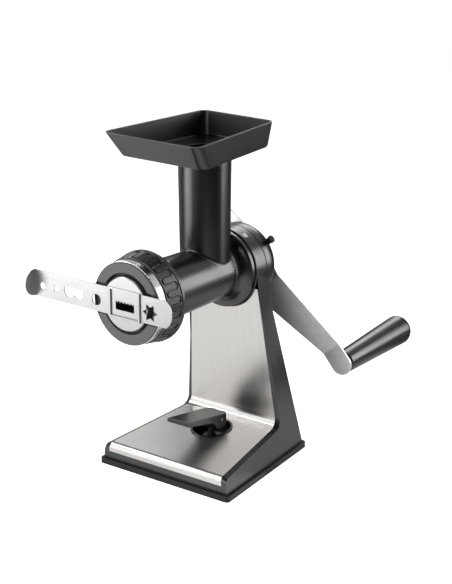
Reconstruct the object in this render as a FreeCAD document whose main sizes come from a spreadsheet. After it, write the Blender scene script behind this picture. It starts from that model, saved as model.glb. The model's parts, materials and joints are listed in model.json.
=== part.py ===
import FreeCAD, Part
import MeshPart
import Sketcher
import os
from math import asin, atan, atan2, cos, degrees, radians, sin, sqrt, tan

V = FreeCAD.Vector
doc = FreeCAD.newDocument("grinder")

# Driving dimensions in millimetres and degrees. Every other size follows from these.
SIZES = dict(
    # heights and places of the main axes
    axis_height=193.3,
    tube_back=-9.5,
    # rubber suction mat with its rim
    foot_front=78.0,
    foot_back=79.2,
    foot_front_half=80.0,
    foot_back_half=59.4,
    foot_corner=3.5,
    foot_rim_height=5.8,
    mat_thickness=3.0,
    mat_rim_width=9.0,
    # stand
    foot_proud=3.1,
    leg_angle=7.35,
    sheet_angle=5.8,
    leg_thickness=5.8,
    leg_bevel=2.0,
    leg_column_bevel=1.4,
    slope_front_height=22.0,
    slope_angle=7.0,
    front_edge_radius=6.0,
    column_front=34.4,
    column_angle=5.9,
    column_bend=9.0,
    column_hold=40.0,
    column_back_angle=12.7,
    waist_below_axis=81.3,
    leg_waist_front=28.3,
    shoulder_below_axis=36.3,
    leg_back=43.4,
    sheet_below_axis=15.3,
    core_below_axis=21.3,
    band_height=13.5,
    sheet_thickness=1.0,
    core_wall=3.0,
    base_plate_height=10.0,
    base_plate_thickness=3.0,
    screw_radius=1.6,
    screw_head_radius=3.2,
    screw_head_height=2.2,
    # suction lever and spindle
    cup_radius=19.0,
    cup_flange=1.0,
    cup_flange_thickness=1.2,
    cup_wall=1.0,
    cup_depth=12.6,
    cup_pedestal_radius=9.5,
    cup_pedestal_drop=7.5,
    spindle_radius=4.0,
    spindle_foot_radius=17.0,
    spindle_foot_thickness=2.4,
    spindle_neck_radius=3.3,
    spindle_eye_radius=3.6,
    spindle_eye_width=10.0,
    suction_travel=4.0,
    pin_height=43.0,
    pin_radius=1.75,
    lever_width=26.8,
    lever_reach=52.6,
    lever_angle=7.9,
    lever_thickness=4.3,
    lever_crown=1.9,
    lever_head_radius=14.5,
    lever_cheek_front=14.1,
    lever_cheek_drop=11.8,
    lever_cheek_back=9.0,
    lever_skirt_drop=8.2,
    lever_round=1.6,
    # round head of the stand
    head_radius=39.4,
    head_front=20.5,
    head_shoulder=44.0,
    head_back=57.5,
    head_back_radius=33.0,
    head_groove=36.6,
    head_bore=30.2,
    head_back_wall=4.0,
    head_edge=0.7,
    head_seam_width=0.9,
    head_crown_radius=18.2,
    lock_angle=37.8,
    lock_place=49.0,
    lock_shank_radius=2.5,
    lock_head_radius=3.9,
    lock_reach=46.5,
    # grinder housing
    barrel_front=102.6,
    barrel_front_radius=29.5,
    barrel_back_radius=27.3,
    barrel_bore=24.8,
    collar_radius=40.1,
    collar_length=5.6,
    bell_radius=38.6,
    bell_edge=15.6,
    bell_edge_width=3.2,
    spigot_radius=30.0,
    spigot_wall=3.5,
    web_front=14.0,
    web_back=20.0,
    tube_top_radius=25.5,
    tube_foot_radius=24.0,
    tube_bore=21.6,
    tube_fillet=3.0,
    # ring nut and outlet attachment
    nut_radius=43.4,
    nut_front_radius=41.0,
    nut_front_edge=0.3,
    nut_lip_radius=44.0,
    nut_back=93.5,
    nut_lip_width=3.4,
    nut_front=115.6,
    nut_groove=0.9,
    meander_count=20,
    meander_width=1.5,
    meander_depth=1.1,
    meander_margin=0.4,
    meander_crescent=2.6,
    meander_pocket=4.8,
    band_front=124.4,
    band_thickness=0.6,
    ring_radius=38.9,
    ring_front=125.5,
    ring_hole=29.2,
    ring_hole_depth=6.5,
    ring_flange=3.2,
    channel_height=30.0,
    channel_depth=4.0,
    disc_radius=25.8,
    disc_front=127.6,
    disc_sheet=1.0,
    bridge_width=37.4,
    bridge_height=28.4,
    window_width=32.6,
    window_height=24.6,
    # shape strip
    strip_height=26.0,
    strip_thickness=1.0,
    hole_drop=2.0,
    strip_left=112.5,
    strip_right=48.2,
    strip_end_radius=15.8,
    tab_reach=13.5,
    small_hole_place=-102.2,
    small_hole_radius=3.3,
    small_star_place=-84.8,
    small_star_radius=4.2,
    scallop_place=-62.9,
    scallop_width=22.4,
    scallop_height=9.5,
    round_hole_place=-34.6,
    round_hole_radius=5.4,
    rib_hole_width=22.0,
    rib_hole_height=9.0,
    rib_count=6,
    star_place=29.8,
    star_radius=8.7,
    # feed tray
    tray_rim_height=339.5,
    tray_depth=25.0,
    tray_front=91.6,
    tray_back=43.8,
    tray_front_half=56.8,
    tray_back_half=42.9,
    tray_front_slope=18.0,
    tray_side_slope=3.4,
    tray_corner=9.0,
    tray_floor_radius=4.0,
    tray_wall=2.2,
    tray_collar_length=14.0,
    # drive line
    shaft_radius=6.0,
    square_width=8.4,
    auger_core=9.0,
    auger_pitch=24.0,
    auger_flight=3.0,
    auger_front=99.5,
    bush_wall=3.0,
    bush_flange=3.0,
    seal_thickness=2.0,
    hub_washer_radius=13.0,
    # crank
    arm_thickness=2.0,
    arm_place=61.0,
    arm_angle=39.5,
    arm_first_bend=31.0,
    arm_slant_angle=23.0,
    arm_second_bend=117.5,
    crank_radius=135.1,
    arm_end_radius=11.8,
    arm_hub_radius=22.6,
    arm_neck_half=11.3,
    arm_tail=47.0,
    arm_tail_half=11.0,
    arm_bend_radius=8.0,
    arm_end_angle=3.0,
    crank_nut_radius=11.0,
    crank_nut_height=11.0,
    grip_gap=2.5,
    grip_spacer_radius=7.4,
    grip_length=115.0,
    grip_edge=1.5,
    grip_thin_radius=11.4,
    grip_fat_radius=15.3,
    grip_end_radius=8.5,
    grip_axle_radius=4.0,
    # clearances
    running_gap=0.08,
    seat_gap=0.1,
    free_gap=0.4,
)


class Size:
    """A number that also knows its formula, so that geometry stays bound to the sheet."""

    def __init__(self, value, formula=None):
        self.value = float(value)
        self.formula = formula if formula else repr(float(value))

    def _join(self, other, sign, result, swapped=False):
        other = other if isinstance(other, Size) else Size(other)
        left, right = (other, self) if swapped else (self, other)
        return Size(result(left.value, right.value), f"({left.formula} {sign} {right.formula})")

    def __add__(self, other):
        return self._join(other, "+", lambda a, b: a + b)

    def __radd__(self, other):
        return self._join(other, "+", lambda a, b: a + b, True)

    def __sub__(self, other):
        return self._join(other, "-", lambda a, b: a - b)

    def __rsub__(self, other):
        return self._join(other, "-", lambda a, b: a - b, True)

    def __mul__(self, other):
        return self._join(other, "*", lambda a, b: a * b)

    def __rmul__(self, other):
        return self._join(other, "*", lambda a, b: a * b, True)

    def __truediv__(self, other):
        return self._join(other, "/", lambda a, b: a / b)

    def __rtruediv__(self, other):
        return self._join(other, "/", lambda a, b: a / b, True)

    def __neg__(self):
        return Size(-self.value, f"(-{self.formula})")

    def __float__(self):
        return self.value


def sine(angle):
    return Size(sin(radians(angle.value)), f"sin({angle.formula})")


def cosine(angle):
    return Size(cos(radians(angle.value)), f"cos({angle.formula})")


def tangent(angle):
    return Size(tan(radians(angle.value)), f"tan({angle.formula})")


def angle_with_sine(ratio):
    return Size(degrees(asin(ratio.value)), f"asin({ratio.formula})")


def angle_with_tangent(ratio):
    return Size(degrees(atan(ratio.value)), f"atan({ratio.formula})")


def root(size):
    return Size(sqrt(size.value), f"sqrt({size.formula})")


def as_size(number):
    return number if isinstance(number, Size) else Size(number)


def make_sheet():
    """Write the driving dimensions to the sheet and return them as bound sizes."""
    sheet = doc.addObject("Spreadsheet::Sheet", "Sizes")
    bound = {}
    for row, (name, value) in enumerate(SIZES.items(), start=1):
        sheet.set(f"A{row}", name)
        sheet.set(f"B{row}", str(value))
        sheet.setAlias(f"B{row}", name)
        bound[name] = Size(value, f"Sizes.{name}")
    doc.recompute()
    return type("Dimensions", (), bound)


D = make_sheet()


def bind(item, prop, size):
    """Set a property from a bound size."""
    item.setExpression(prop, as_size(size).formula)


def place(item, x=0, y=0, z=0, axis=None, angle=0):
    """Put an object at a bound place, turned about an axis by a bound angle in degrees."""
    if axis:
        turn = FreeCAD.Rotation(V(*axis), float(as_size(angle)))
        item.Placement = FreeCAD.Placement(V(0, 0, 0), turn)
        bind(item, ".Placement.Rotation.Angle", angle)
    for name, size in zip("xyz", (x, y, z)):
        bind(item, f".Placement.Base.{name}", size)
    return item


def named(item, label):
    item.Label = label
    return item


def new_body(label):
    return named(doc.addObject("PartDesign::Body", label), label)


def origin_part(body, role):
    return [part for part in body.Origin.OriginFeatures if part.Role == role][0]


def new_sketch(body, plane, offset=0, turn=0, turn_axis=(0, 1, 0)):
    """A sketch on one of the body's own planes, moved along its normal and turned if asked."""
    sketch = body.newObject("Sketcher::SketchObject", body.Name + "_sketch")
    sketch.AttachmentSupport = [(origin_part(body, plane), "")]
    sketch.MapMode = "FlatFace"
    offset, turn = as_size(offset), as_size(turn)
    rotation = FreeCAD.Rotation(V(*turn_axis), turn.value)
    sketch.AttachmentOffset = FreeCAD.Placement(rotation.multVec(V(0, 0, offset.value)), rotation)
    if turn.formula == "0.0":
        bind(sketch, ".AttachmentOffset.Base.z", offset)
    else:
        bind(sketch, ".AttachmentOffset.Rotation.Angle", turn)
        bind(sketch, ".AttachmentOffset.Base.x", offset * sine(turn))
        bind(sketch, ".AttachmentOffset.Base.z", offset * cosine(turn))
    return sketch


def pin_point(sketch, item, end, x, y):
    """Hold one end of a sketch item at bound coordinates."""
    for kind, size in (("DistanceX", x), ("DistanceY", y)):
        size = as_size(size)
        if size.formula == "0.0":
            target = -2 if kind == "DistanceX" else -1
            sketch.addConstraint(Sketcher.Constraint("PointOnObject", item, end, target))
            continue
        index = sketch.addConstraint(Sketcher.Constraint(kind, -1, 1, item, end, size.value))
        sketch.setExpression(f"Constraints[{index}]", size.formula)


def arc_edge(start, end, radius):
    """The short arc that runs anticlockwise from start to end."""
    chord = end - start
    left = V(-chord.y, chord.x, 0).normalize()
    rise = sqrt(max(radius * radius - chord.Length * chord.Length / 4, 0))
    centre = (start + end) * 0.5 + left * rise
    angles = [atan2(point.y - centre.y, point.x - centre.x) for point in (start, end)]
    return Part.ArcOfCircle(Part.Circle(centre, V(0, 0, 1), radius), *angles)


def outline(sketch, corners):
    """Draw a closed outline. A corner is (x, y) or (x, y, radius) where the edge that leaves it
    is an arc: a positive radius bulges to the right of the direction of travel."""
    first = sketch.GeometryCount
    points = [V(float(corner[0]), float(corner[1]), 0) for corner in corners]
    ends = []
    for index, corner in enumerate(corners):
        start, end = points[index], points[(index + 1) % len(points)]
        radius = float(corner[2]) if len(corner) == 3 else 0
        if radius > 0:
            sketch.addGeometry(arc_edge(start, end, radius))
        elif radius < 0:
            sketch.addGeometry(arc_edge(end, start, -radius))
        else:
            sketch.addGeometry(Part.LineSegment(start, end))
        ends.append((2, 1) if radius < 0 else (1, 2))
    for index, corner in enumerate(corners):
        item = first + index
        before = first + (index - 1) % len(corners)
        joint = (before, ends[index - 1][1], item, ends[index][0])
        sketch.addConstraint(Sketcher.Constraint("Coincident", *joint))
        pin_point(sketch, item, ends[index][0], corner[0], corner[1])
    for index, corner in enumerate(corners):
        if len(corner) == 3:
            size = corner[2] if float(corner[2]) > 0 else -corner[2]
            number = sketch.addConstraint(Sketcher.Constraint("Radius", first + index, float(size)))
            sketch.setExpression(f"Constraints[{number}]", as_size(size).formula)
    return sketch


def ring_line(sketch, x, y, radius):
    """Draw a circle at a bound place."""
    x, y, radius = as_size(x), as_size(y), as_size(radius)
    item = sketch.addGeometry(Part.Circle(V(x.value, y.value, 0), V(0, 0, 1), radius.value))
    index = sketch.addConstraint(Sketcher.Constraint("Radius", item, radius.value))
    sketch.setExpression(f"Constraints[{index}]", radius.formula)
    pin_point(sketch, item, 3, x, y)
    return sketch


def grow(body, kind, sketch, length=None, **settings):
    """Add one feature to a body from a sketch, and say so if it changes nothing."""
    doc.recompute()
    before = body.Shape.Volume if body.Tip else 0
    feature = body.newObject("PartDesign::" + kind, body.Name + "_" + kind)
    feature.Profile = sketch
    sketch.Visibility = False
    for name, value in settings.items():
        setattr(feature, name, value)
    if length is not None:
        bind(feature, "Length", length)
    doc.recompute()
    if abs(body.Shape.Volume - before) < 1e-6:
        raise ValueError(f"{feature.Name} in {body.Label} changes nothing")
    return feature


def turned(label, corners):
    """A body turned about the barrel's axis from (y, radius) corners."""
    body = new_body(label)
    sketch = outline(new_sketch(body, "YZ_Plane"), corners)
    grow(body, "Revolution", sketch, ReferenceAxis=(sketch, ["H_Axis"]), Angle=360)
    place(body, z=D.axis_height)
    return body


def edges_where(shape, test):
    return [f"Edge{number}" for number, edge in enumerate(shape.Edges, start=1) if test(edge)]


def soften(body, kind, size, test):
    """Fillet or chamfer the edges of a body that pass a test."""
    doc.recompute()
    base = body.Tip
    names = edges_where(base.Shape, test)
    if not names:
        raise ValueError(f"no edge to soften in {body.Label}")
    feature = body.newObject("PartDesign::" + kind, body.Name + "_" + kind)
    feature.Base = (base, names)
    bind(feature, "Radius" if kind == "Fillet" else "Size", size)
    doc.recompute()
    return feature


def solid(kind, **sizes):
    """A Part primitive with bound sizes."""
    item = doc.addObject("Part::" + kind, kind)
    for name, size in sizes.items():
        bind(item, name, size)
    return item


def along_y(item, y=0, x=0, z=None):
    """Lay a primitive's axis along +Y from a bound place; z is the barrel axis unless given."""
    item.Placement = FreeCAD.Placement(V(0, 0, 0), FreeCAD.Rotation(V(1, 0, 0), -90))
    bind(item, ".Placement.Base.x", x)
    bind(item, ".Placement.Base.y", y)
    bind(item, ".Placement.Base.z", D.axis_height if z is None else z)
    return item


def join(items, label=None):
    item = doc.addObject("Part::MultiFuse", "joined")
    item.Shapes = items
    item.Refine = True
    return named(item, label) if label else item


def cut(base, tools, label=None):
    tool = tools[0] if len(tools) == 1 else join(tools)
    item = doc.addObject("Part::Cut", "cut")
    item.Base = base
    item.Tool = tool
    return named(item, label) if label else item


def shared(first, second, label=None):
    item = doc.addObject("Part::Common", "shared")
    item.Base = first
    item.Tool = second
    return named(item, label) if label else item



# Lines and planes that several pieces share
FRONT = -(D.foot_front - D.foot_proud)
BACK = D.foot_back - D.foot_proud
NARROWING = (D.foot_front_half - D.foot_back_half) / (D.foot_front + D.foot_back)
SLOPE = tangent(D.slope_angle)
COLUMN = tangent(D.column_angle)
BACK_LEAN = tangent(D.column_back_angle)
SHEET_INSIDE = D.sheet_thickness + D.seat_gap
TUBE_TOP = D.tray_rim_height - D.tray_depth
SHEET_TOP = D.axis_height - D.sheet_below_axis
CORE_TOP = D.axis_height - D.core_below_axis
WAIST = D.axis_height - D.waist_below_axis
SHOULDER = D.axis_height - D.shoulder_below_axis
STAR_POINTS = 6
STAR_WAIST = 0.58


def side(y, z, inset=0, lean=None):
    """Half the stand's width at a place: it narrows to the back and leans in towards the top."""
    lean = D.leg_angle if lean is None else lean
    foot = D.foot_front_half - NARROWING * (y + D.foot_front) - D.foot_proud
    return foot - inset - tangent(lean) * (z - D.foot_rim_height)


def inner_side(y, z, gap=0):
    return side(y, z, D.leg_thickness + gap, D.sheet_angle)


def slope_height(y, below=0):
    """Height of the sloping top of the foot, or of a layer under it."""
    return D.slope_front_height + SLOPE * (y - FRONT) - below / cosine(D.slope_angle)


def column_face(z, behind=0):
    """Front of the column, or of a layer behind it."""
    return D.column_front - COLUMN * (z - D.column_hold) + behind / cosine(D.column_angle)


def back_face(z, inside=0):
    return BACK - BACK_LEAN * (z - D.foot_rim_height) - inside / cosine(D.column_back_angle)


def bend_corner(layer=0):
    """Where the slope meets the column, for the outer face or a layer behind it."""
    start = D.slope_front_height - SLOPE * FRONT - layer / cosine(D.slope_angle)
    face = D.column_front + COLUMN * D.column_hold + layer / cosine(D.column_angle)
    y = (face - COLUMN * start) / (1 + COLUMN * SLOPE)
    return y, start + SLOPE * y


def trapezoid(sketch, inset, reach_front, reach_back, half):
    """A four-sided outline that narrows to the back; half gives the half width at a place."""
    front, back = -(reach_front - inset), reach_back - inset
    corners = [(-half(front), front), (half(front), front), (half(back), back), (-half(back), back)]
    return outline(sketch, corners)


def foot_half(inset):
    return lambda y: D.foot_front_half - NARROWING * (y + D.foot_front) - inset


def upright(edge):
    """True for a straight edge that runs mostly upwards."""
    if edge.Curve.TypeId != "Part::GeomLine":
        return False
    run = edge.Vertexes[1].Point - edge.Vertexes[0].Point
    return abs(run.z) > 0.8 * run.Length


def crosswise_at(y, z, slack=0.05):
    """A test for edges along X through a given place."""
    y, z = float(y), float(z)

    def test(edge):
        ends = [vertex.Point for vertex in edge.Vertexes]
        return len(ends) == 2 and all(abs(p.y - y) < slack and abs(p.z - z) < slack for p in ends)
    return test


def wedge(label, gap, top):
    """The space between the legs, up to a height, with a gap to them."""
    body = new_body(label)
    sketches = []
    for height in (Size(0), top):
        sketch = new_sketch(body, "XY_Plane", height)
        trapezoid(sketch, Size(0), D.foot_front, D.foot_back,
                  lambda y, height=height: inner_side(y, height, gap))
        sketches.append(sketch)
    doc.recompute()
    loft = body.newObject("PartDesign::AdditiveLoft", label + "_loft")
    loft.Profile = sketches[0]
    loft.Sections = sketches[1:]
    loft.Ruled = True
    doc.recompute()
    return body


def make_suction_mat():
    body = new_body("suction_mat")
    sketch = trapezoid(new_sketch(body, "XY_Plane"), Size(0), D.foot_front, D.foot_back, foot_half(0))
    grow(body, "Pad", sketch, D.foot_rim_height)
    soften(body, "Fillet", D.foot_corner, upright)
    well = new_sketch(body, "XY_Plane", D.foot_rim_height)
    trapezoid(well, D.mat_rim_width, D.foot_front, D.foot_back, foot_half(D.mat_rim_width))
    grow(body, "Pocket", well, D.foot_rim_height - D.mat_thickness)
    return body


def leg_outline(points, width, flip):
    """A closed wire in a leg's side plane from (y, z) points; a tuple of three is an arc."""
    edges = []
    where = lambda point: V(flip * float(width(*point)), float(point[0]), float(point[1]))
    for index, part in enumerate(points):
        end = points[(index + 1) % len(points)][0]
        if len(part) == 2:
            edges.append(Part.Arc(where(part[0]), where(part[1]), where(end)).toShape())
        else:
            edges.append(Part.LineSegment(where(part[0]), where(end)).toShape())
    return Part.Wire(edges)


def arc_middle(corner, before, after, radius, turn):
    """Middle of the rounding of a corner; before and after are unit steps away from the corner."""
    reach = radius / sine(turn / 2) - radius
    step_y, step_z = before[0] + after[0], before[1] + after[1]
    size = root(step_y * step_y + step_z * step_z)
    return corner[0] + step_y / size * reach, corner[1] + step_z / size * reach


def leg_points(drop, step):
    """The leg's outline from the front foot corner round to the back; drop lowers the slope and
    step moves the column's front edge back, which makes the bevel of the outer face."""
    slope_run = (cosine(D.slope_angle), sine(D.slope_angle))
    column_run = (-sine(D.column_angle), cosine(D.column_angle))
    corner = bend_corner()
    corner = (corner[0] + step, corner[1] - drop)
    open_angle = 90 + D.column_angle - D.slope_angle
    reach = D.column_bend * tangent((180 - open_angle) / 2)
    bend_in = (corner[0] - slope_run[0] * reach, corner[1] - slope_run[1] * reach)
    bend_out = (corner[0] + column_run[0] * reach, corner[1] + column_run[1] * reach)
    away = (-slope_run[0], -slope_run[1])
    bend_middle = arc_middle(corner, away, column_run, D.column_bend, open_angle)
    nose = (FRONT, slope_height(FRONT) - drop)
    nose_angle = 90 + D.slope_angle
    nose_reach = D.front_edge_radius * tangent((180 - nose_angle) / 2)
    nose_in = (FRONT, nose[1] - nose_reach)
    nose_out = (FRONT + slope_run[0] * nose_reach, nose[1] + slope_run[1] * nose_reach)
    nose_middle = arc_middle(nose, (Size(0), Size(-1)), slope_run, D.front_edge_radius, nose_angle)
    top = D.axis_height + D.head_radius * sine(D.leg_angle)
    front_top = (D.head_front, top)
    if float(step) > 0:
        waist = (D.leg_waist_front, WAIST)
        shoulder = (D.head_front, SHOULDER)
    else:
        waist = (column_face(WAIST), WAIST)
        shoulder = (column_face(SHOULDER), SHOULDER)
    back_turn = D.foot_rim_height + (BACK - D.leg_back) / BACK_LEAN
    return [((FRONT, D.foot_rim_height),), (nose_in, nose_middle), (nose_out,),
            (bend_in, bend_middle), (bend_out,), (waist,), (shoulder,), (front_top,),
            ((D.leg_back, top),), ((D.leg_back, back_turn),), ((BACK, D.foot_rim_height),)]


def make_leg(flip):
    """One moulded leg: its outer face is smaller than its inner one, so its edges are bevelled."""
    outer = leg_outline(leg_points(D.leg_bevel, D.leg_column_bevel), side, flip)
    inner = leg_outline(leg_points(Size(0), Size(0)), inner_side, flip)
    leg = doc.addObject("Part::Feature", "leg")
    leg.Shape = Part.makeLoft([outer, inner], True, True)
    return leg


def head_profile():
    """Turned outline of the head: bore, front face, seam groove, shoulder and back."""
    radius, depth, width = D.head_radius, D.head_edge, D.head_seam_width
    return [(D.head_front, D.head_bore), (D.head_front, radius - depth),
            (D.head_front + depth, radius), (D.head_groove, radius), (D.head_groove, radius - depth),
            (D.head_groove + width, radius - depth), (D.head_groove + width, radius),
            (D.head_shoulder, radius, -D.head_crown_radius),
            (D.head_back, D.head_back_radius), (D.head_back, bush_seat()),
            (D.head_back - D.head_back_wall, bush_seat()),
            (D.head_back - D.head_back_wall, D.head_bore)]


def bush_seat():
    return D.shaft_radius + D.bush_wall + D.seat_gap


def lock_hole():
    """A radial hole through the head and the spigot for the lock pin."""
    hole = solid("Cylinder", Radius=D.lock_shank_radius + D.running_gap, Height=D.head_radius)
    return lock_axis(hole, D.spigot_radius - D.spigot_wall - D.free_gap)


def lock_axis(item, start):
    """Stand a part made along +Z on the lock pin's radial line, from a distance off the axis."""
    item.Placement = FreeCAD.Placement(V(0, 0, 0), FreeCAD.Rotation(V(0, 1, 0), 90 - D.lock_angle.value))
    bind(item, ".Placement.Rotation.Angle", 90 - D.lock_angle)
    bind(item, ".Placement.Base.x", cosine(D.lock_angle) * start)
    bind(item, ".Placement.Base.y", D.lock_place)
    bind(item, ".Placement.Base.z", D.axis_height + sine(D.lock_angle) * start)
    return item


def make_stand_frame():
    head = turned("head_block", head_profile())
    bore = solid("Cylinder", Radius=D.head_bore, Height=D.head_back - D.head_back_wall - D.head_front)
    along_y(bore, D.head_front)
    frame = join([make_leg(1), make_leg(-1), head])
    return cut(frame, [bore, lock_hole()], "stand_frame")


def make_stand_core():
    """The shell between the legs: front band, skin under the sheet and back wall."""
    body = new_body("core_shell")
    layer = SHEET_INSIDE
    corner = bend_corner(layer)
    skin = [(FRONT, D.foot_rim_height), (FRONT, D.band_height), (FRONT + layer, D.band_height),
            (FRONT + layer, slope_height(FRONT + layer, layer)), corner,
            (column_face(CORE_TOP, layer), CORE_TOP), (back_face(CORE_TOP), CORE_TOP),
            (BACK, D.foot_rim_height)]
    grow(body, "Pad", outline(new_sketch(body, "YZ_Plane"), skin), D.foot_front_half * 2, Midplane=True)
    soften(body, "Fillet", D.front_edge_radius - layer, crosswise_at(*skin[3]))
    soften(body, "Fillet", D.column_bend + layer, crosswise_at(*corner))
    layer = SHEET_INSIDE + D.core_wall
    corner = bend_corner(layer)
    top = CORE_TOP - D.core_wall
    below = D.foot_rim_height - D.free_gap
    hollow = [(FRONT + layer, below), (FRONT + layer, slope_height(FRONT + layer, layer)), corner,
              (column_face(top, layer), top), (back_face(top, D.core_wall), top),
              (back_face(below, D.core_wall), below)]
    pocket = outline(new_sketch(body, "YZ_Plane"), hollow)
    grow(body, "Pocket", pocket, D.foot_front_half * 2, Midplane=True)
    shell = shared(body, wedge("core_space", D.seat_gap, CORE_TOP + D.core_wall))
    bosses, holes = [], []
    for x, y in screw_places():
        boss = solid("Cylinder", Radius=D.screw_radius * 3, Height=D.core_wall * 2.6)
        bosses.append(place(boss, x, y, plate_top()))
        hole = solid("Cylinder", Radius=D.screw_radius + D.seat_gap, Height=D.core_wall * 2)
        holes.append(place(hole, x, y, plate_top()))
    shell = join([shell] + bosses)
    head = solid("Cylinder", Radius=D.head_radius + D.seat_gap, Height=D.head_back)
    along_y(head)
    cup = cup_place(solid("Cylinder", Radius=D.cup_radius + D.cup_wall + D.free_gap,
                          Height=D.cup_depth * 2), -D.cup_depth)
    return cut(shell, holes + [head, cup], "stand_core")


def plate_top():
    return D.base_plate_height + D.base_plate_thickness


def screw_places():
    """Two screws near the front and two near the back wall."""
    front = FRONT + D.core_wall * 5
    back = back_face(plate_top(), D.core_wall) - D.screw_radius * 2.5
    spread_front = inner_side(front, plate_top()) - D.core_wall * 4
    spread_back = inner_side(back, plate_top()) - D.core_wall * 4
    return [(spread_front, front), (-spread_front, front), (spread_back, back), (-spread_back, back)]


def cup_place(item, along=0):
    """Stand a part square on the slope at the spindle's axis."""
    item.Placement = FreeCAD.Placement(V(0, 0, 0), FreeCAD.Rotation(V(1, 0, 0), D.slope_angle.value))
    bind(item, ".Placement.Rotation.Angle", D.slope_angle)
    bind(item, ".Placement.Base.y", -sine(D.slope_angle) * along)
    bind(item, ".Placement.Base.z", slope_height(Size(0)) + cosine(D.slope_angle) * along)
    return item


def make_steel_sheet():
    """One bent sheet: front lip, rounded front edge, slope, bend and column face."""
    body = new_body("sheet_bent")
    thick = D.sheet_thickness
    outer, inner = bend_corner(), bend_corner(thick)
    nose, nose_inside = slope_height(FRONT), slope_height(FRONT + thick, thick)
    corners = [(FRONT, D.band_height + D.seat_gap), (FRONT, nose), outer,
               (column_face(SHEET_TOP), SHEET_TOP), (column_face(SHEET_TOP, thick), SHEET_TOP),
               inner, (FRONT + thick, nose_inside), (FRONT + thick, D.band_height + D.seat_gap)]
    sketch = outline(new_sketch(body, "YZ_Plane"), corners)
    grow(body, "Pad", sketch, D.foot_front_half * 2, Midplane=True)
    soften(body, "Fillet", D.column_bend, crosswise_at(*outer))
    soften(body, "Fillet", D.column_bend + thick, crosswise_at(*inner))
    soften(body, "Fillet", D.front_edge_radius, crosswise_at(FRONT, nose))
    soften(body, "Fillet", D.front_edge_radius - thick, crosswise_at(FRONT + thick, nose_inside))
    sheet = shared(body, wedge("sheet_space", D.seat_gap, SHEET_TOP + D.core_wall))
    head = solid("Cylinder", Radius=D.head_radius + D.sheet_thickness, Height=D.head_back * 2)
    along_y(head, -D.head_back)
    cup = cup_place(solid("Cylinder", Radius=D.cup_radius + D.cup_wall + D.seat_gap,
                          Height=D.cup_depth * 2), -D.cup_depth)
    return cut(sheet, [head, cup], "steel_sheet")


def make_base_plate():
    body = new_body("plate_blank")
    height = D.base_plate_height
    front = FRONT + SHEET_INSIDE + D.core_wall + D.free_gap
    back = back_face(plate_top(), D.core_wall + D.free_gap)
    half = lambda y: inner_side(y, plate_top(), D.free_gap)
    corners = [(-half(front), front), (half(front), front), (half(back), back), (-half(back), back)]
    grow(body, "Pad", outline(new_sketch(body, "XY_Plane", height), corners), D.base_plate_thickness)
    boss = new_sketch(body, "XY_Plane", height)
    ring_line(boss, 0, 0, D.spindle_radius * 2)
    grow(body, "Pad", boss, D.base_plate_thickness + D.free_gap * 2)
    guide = new_sketch(body, "XY_Plane", height)
    ring_line(guide, 0, 0, D.spindle_radius + D.running_gap)
    grow(body, "Pocket", guide, D.base_plate_thickness * 2, Reversed=True)
    holes = new_sketch(body, "XY_Plane", height)
    for x, y in screw_places():
        ring_line(holes, x, y, D.screw_radius + D.seat_gap)
    grow(body, "Pocket", holes, D.base_plate_thickness * 2, Reversed=True)
    return named(body, "base_plate")


def make_base_screws():
    screws = []
    for x, y in screw_places():
        under = D.base_plate_height - D.seat_gap - D.screw_head_height
        reach = D.screw_head_height + D.seat_gap + D.base_plate_thickness + D.core_wall * 2
        shank = place(solid("Cylinder", Radius=D.screw_radius, Height=reach), x, y, under)
        head = solid("Cylinder", Radius=D.screw_head_radius, Height=D.screw_head_height)
        screws.append(join([shank, place(head, x, y, under)]))
    group = doc.addObject("Part::Compound", "screws")
    group.Links = screws
    return named(group, "base_screws")


def make_recess_cup():
    """A round cup let into the slope, with a pedestal for the lever's cam cheeks."""
    body = new_body("cup_blank")
    inner, outer = D.cup_radius, D.cup_radius + D.cup_wall
    floor = -D.cup_depth
    rise = -D.cup_pedestal_drop
    corners = [(0, floor - D.cup_wall), (outer, floor - D.cup_wall), (outer, D.seat_gap),
               (outer + D.cup_flange, D.seat_gap), (outer + D.cup_flange, D.cup_flange_thickness * 0.6),
               (outer + D.cup_flange * 0.4, D.cup_flange_thickness), (inner, D.cup_flange_thickness),
               (inner, floor), (D.cup_pedestal_radius, floor), (D.cup_pedestal_radius, rise), (0, rise)]
    sketch = outline(new_sketch(body, "XZ_Plane"), corners)
    grow(body, "Revolution", sketch, ReferenceAxis=(sketch, ["V_Axis"]), Angle=360)
    hole = solid("Cylinder", Radius=D.spindle_radius + D.free_gap, Height=slope_height(Size(0)) * 2)
    return cut(cup_place(body), [hole], "recess_cup")


def make_suction_spindle():
    body = new_body("spindle_rod")
    low = D.mat_thickness + D.free_gap + D.suction_travel
    step = plate_top() + D.suction_travel + D.free_gap * 3
    corners = [(0, low), (D.spindle_foot_radius, low),
               (D.spindle_foot_radius, low + D.spindle_foot_thickness),
               (D.spindle_radius, low + D.spindle_foot_thickness), (D.spindle_radius, step),
               (D.spindle_neck_radius, step), (D.spindle_neck_radius, D.pin_height), (0, D.pin_height)]
    sketch = outline(new_sketch(body, "XZ_Plane"), corners)
    grow(body, "Revolution", sketch, ReferenceAxis=(sketch, ["V_Axis"]), Angle=360)
    eye = across(D.spindle_eye_radius, D.spindle_eye_width)
    hole = across(D.pin_radius + D.running_gap, D.lever_width)
    return cut(join([body, eye]), [hole], "suction_spindle")


def across(radius, width):
    """A cylinder along X, centred on the lever pin's axis."""
    item = solid("Cylinder", Radius=radius, Height=width)
    item.Placement = FreeCAD.Placement(V(0, 0, 0), FreeCAD.Rotation(V(0, 1, 0), 90))
    bind(item, ".Placement.Base.x", -width / 2)
    bind(item, ".Placement.Base.z", D.pin_height)
    return item


def lever_top(y):
    """Height of the lever's flat top, which rises towards its tip."""
    return D.pin_height + D.spindle_eye_radius + D.lever_crown - tangent(D.lever_angle) * y


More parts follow.
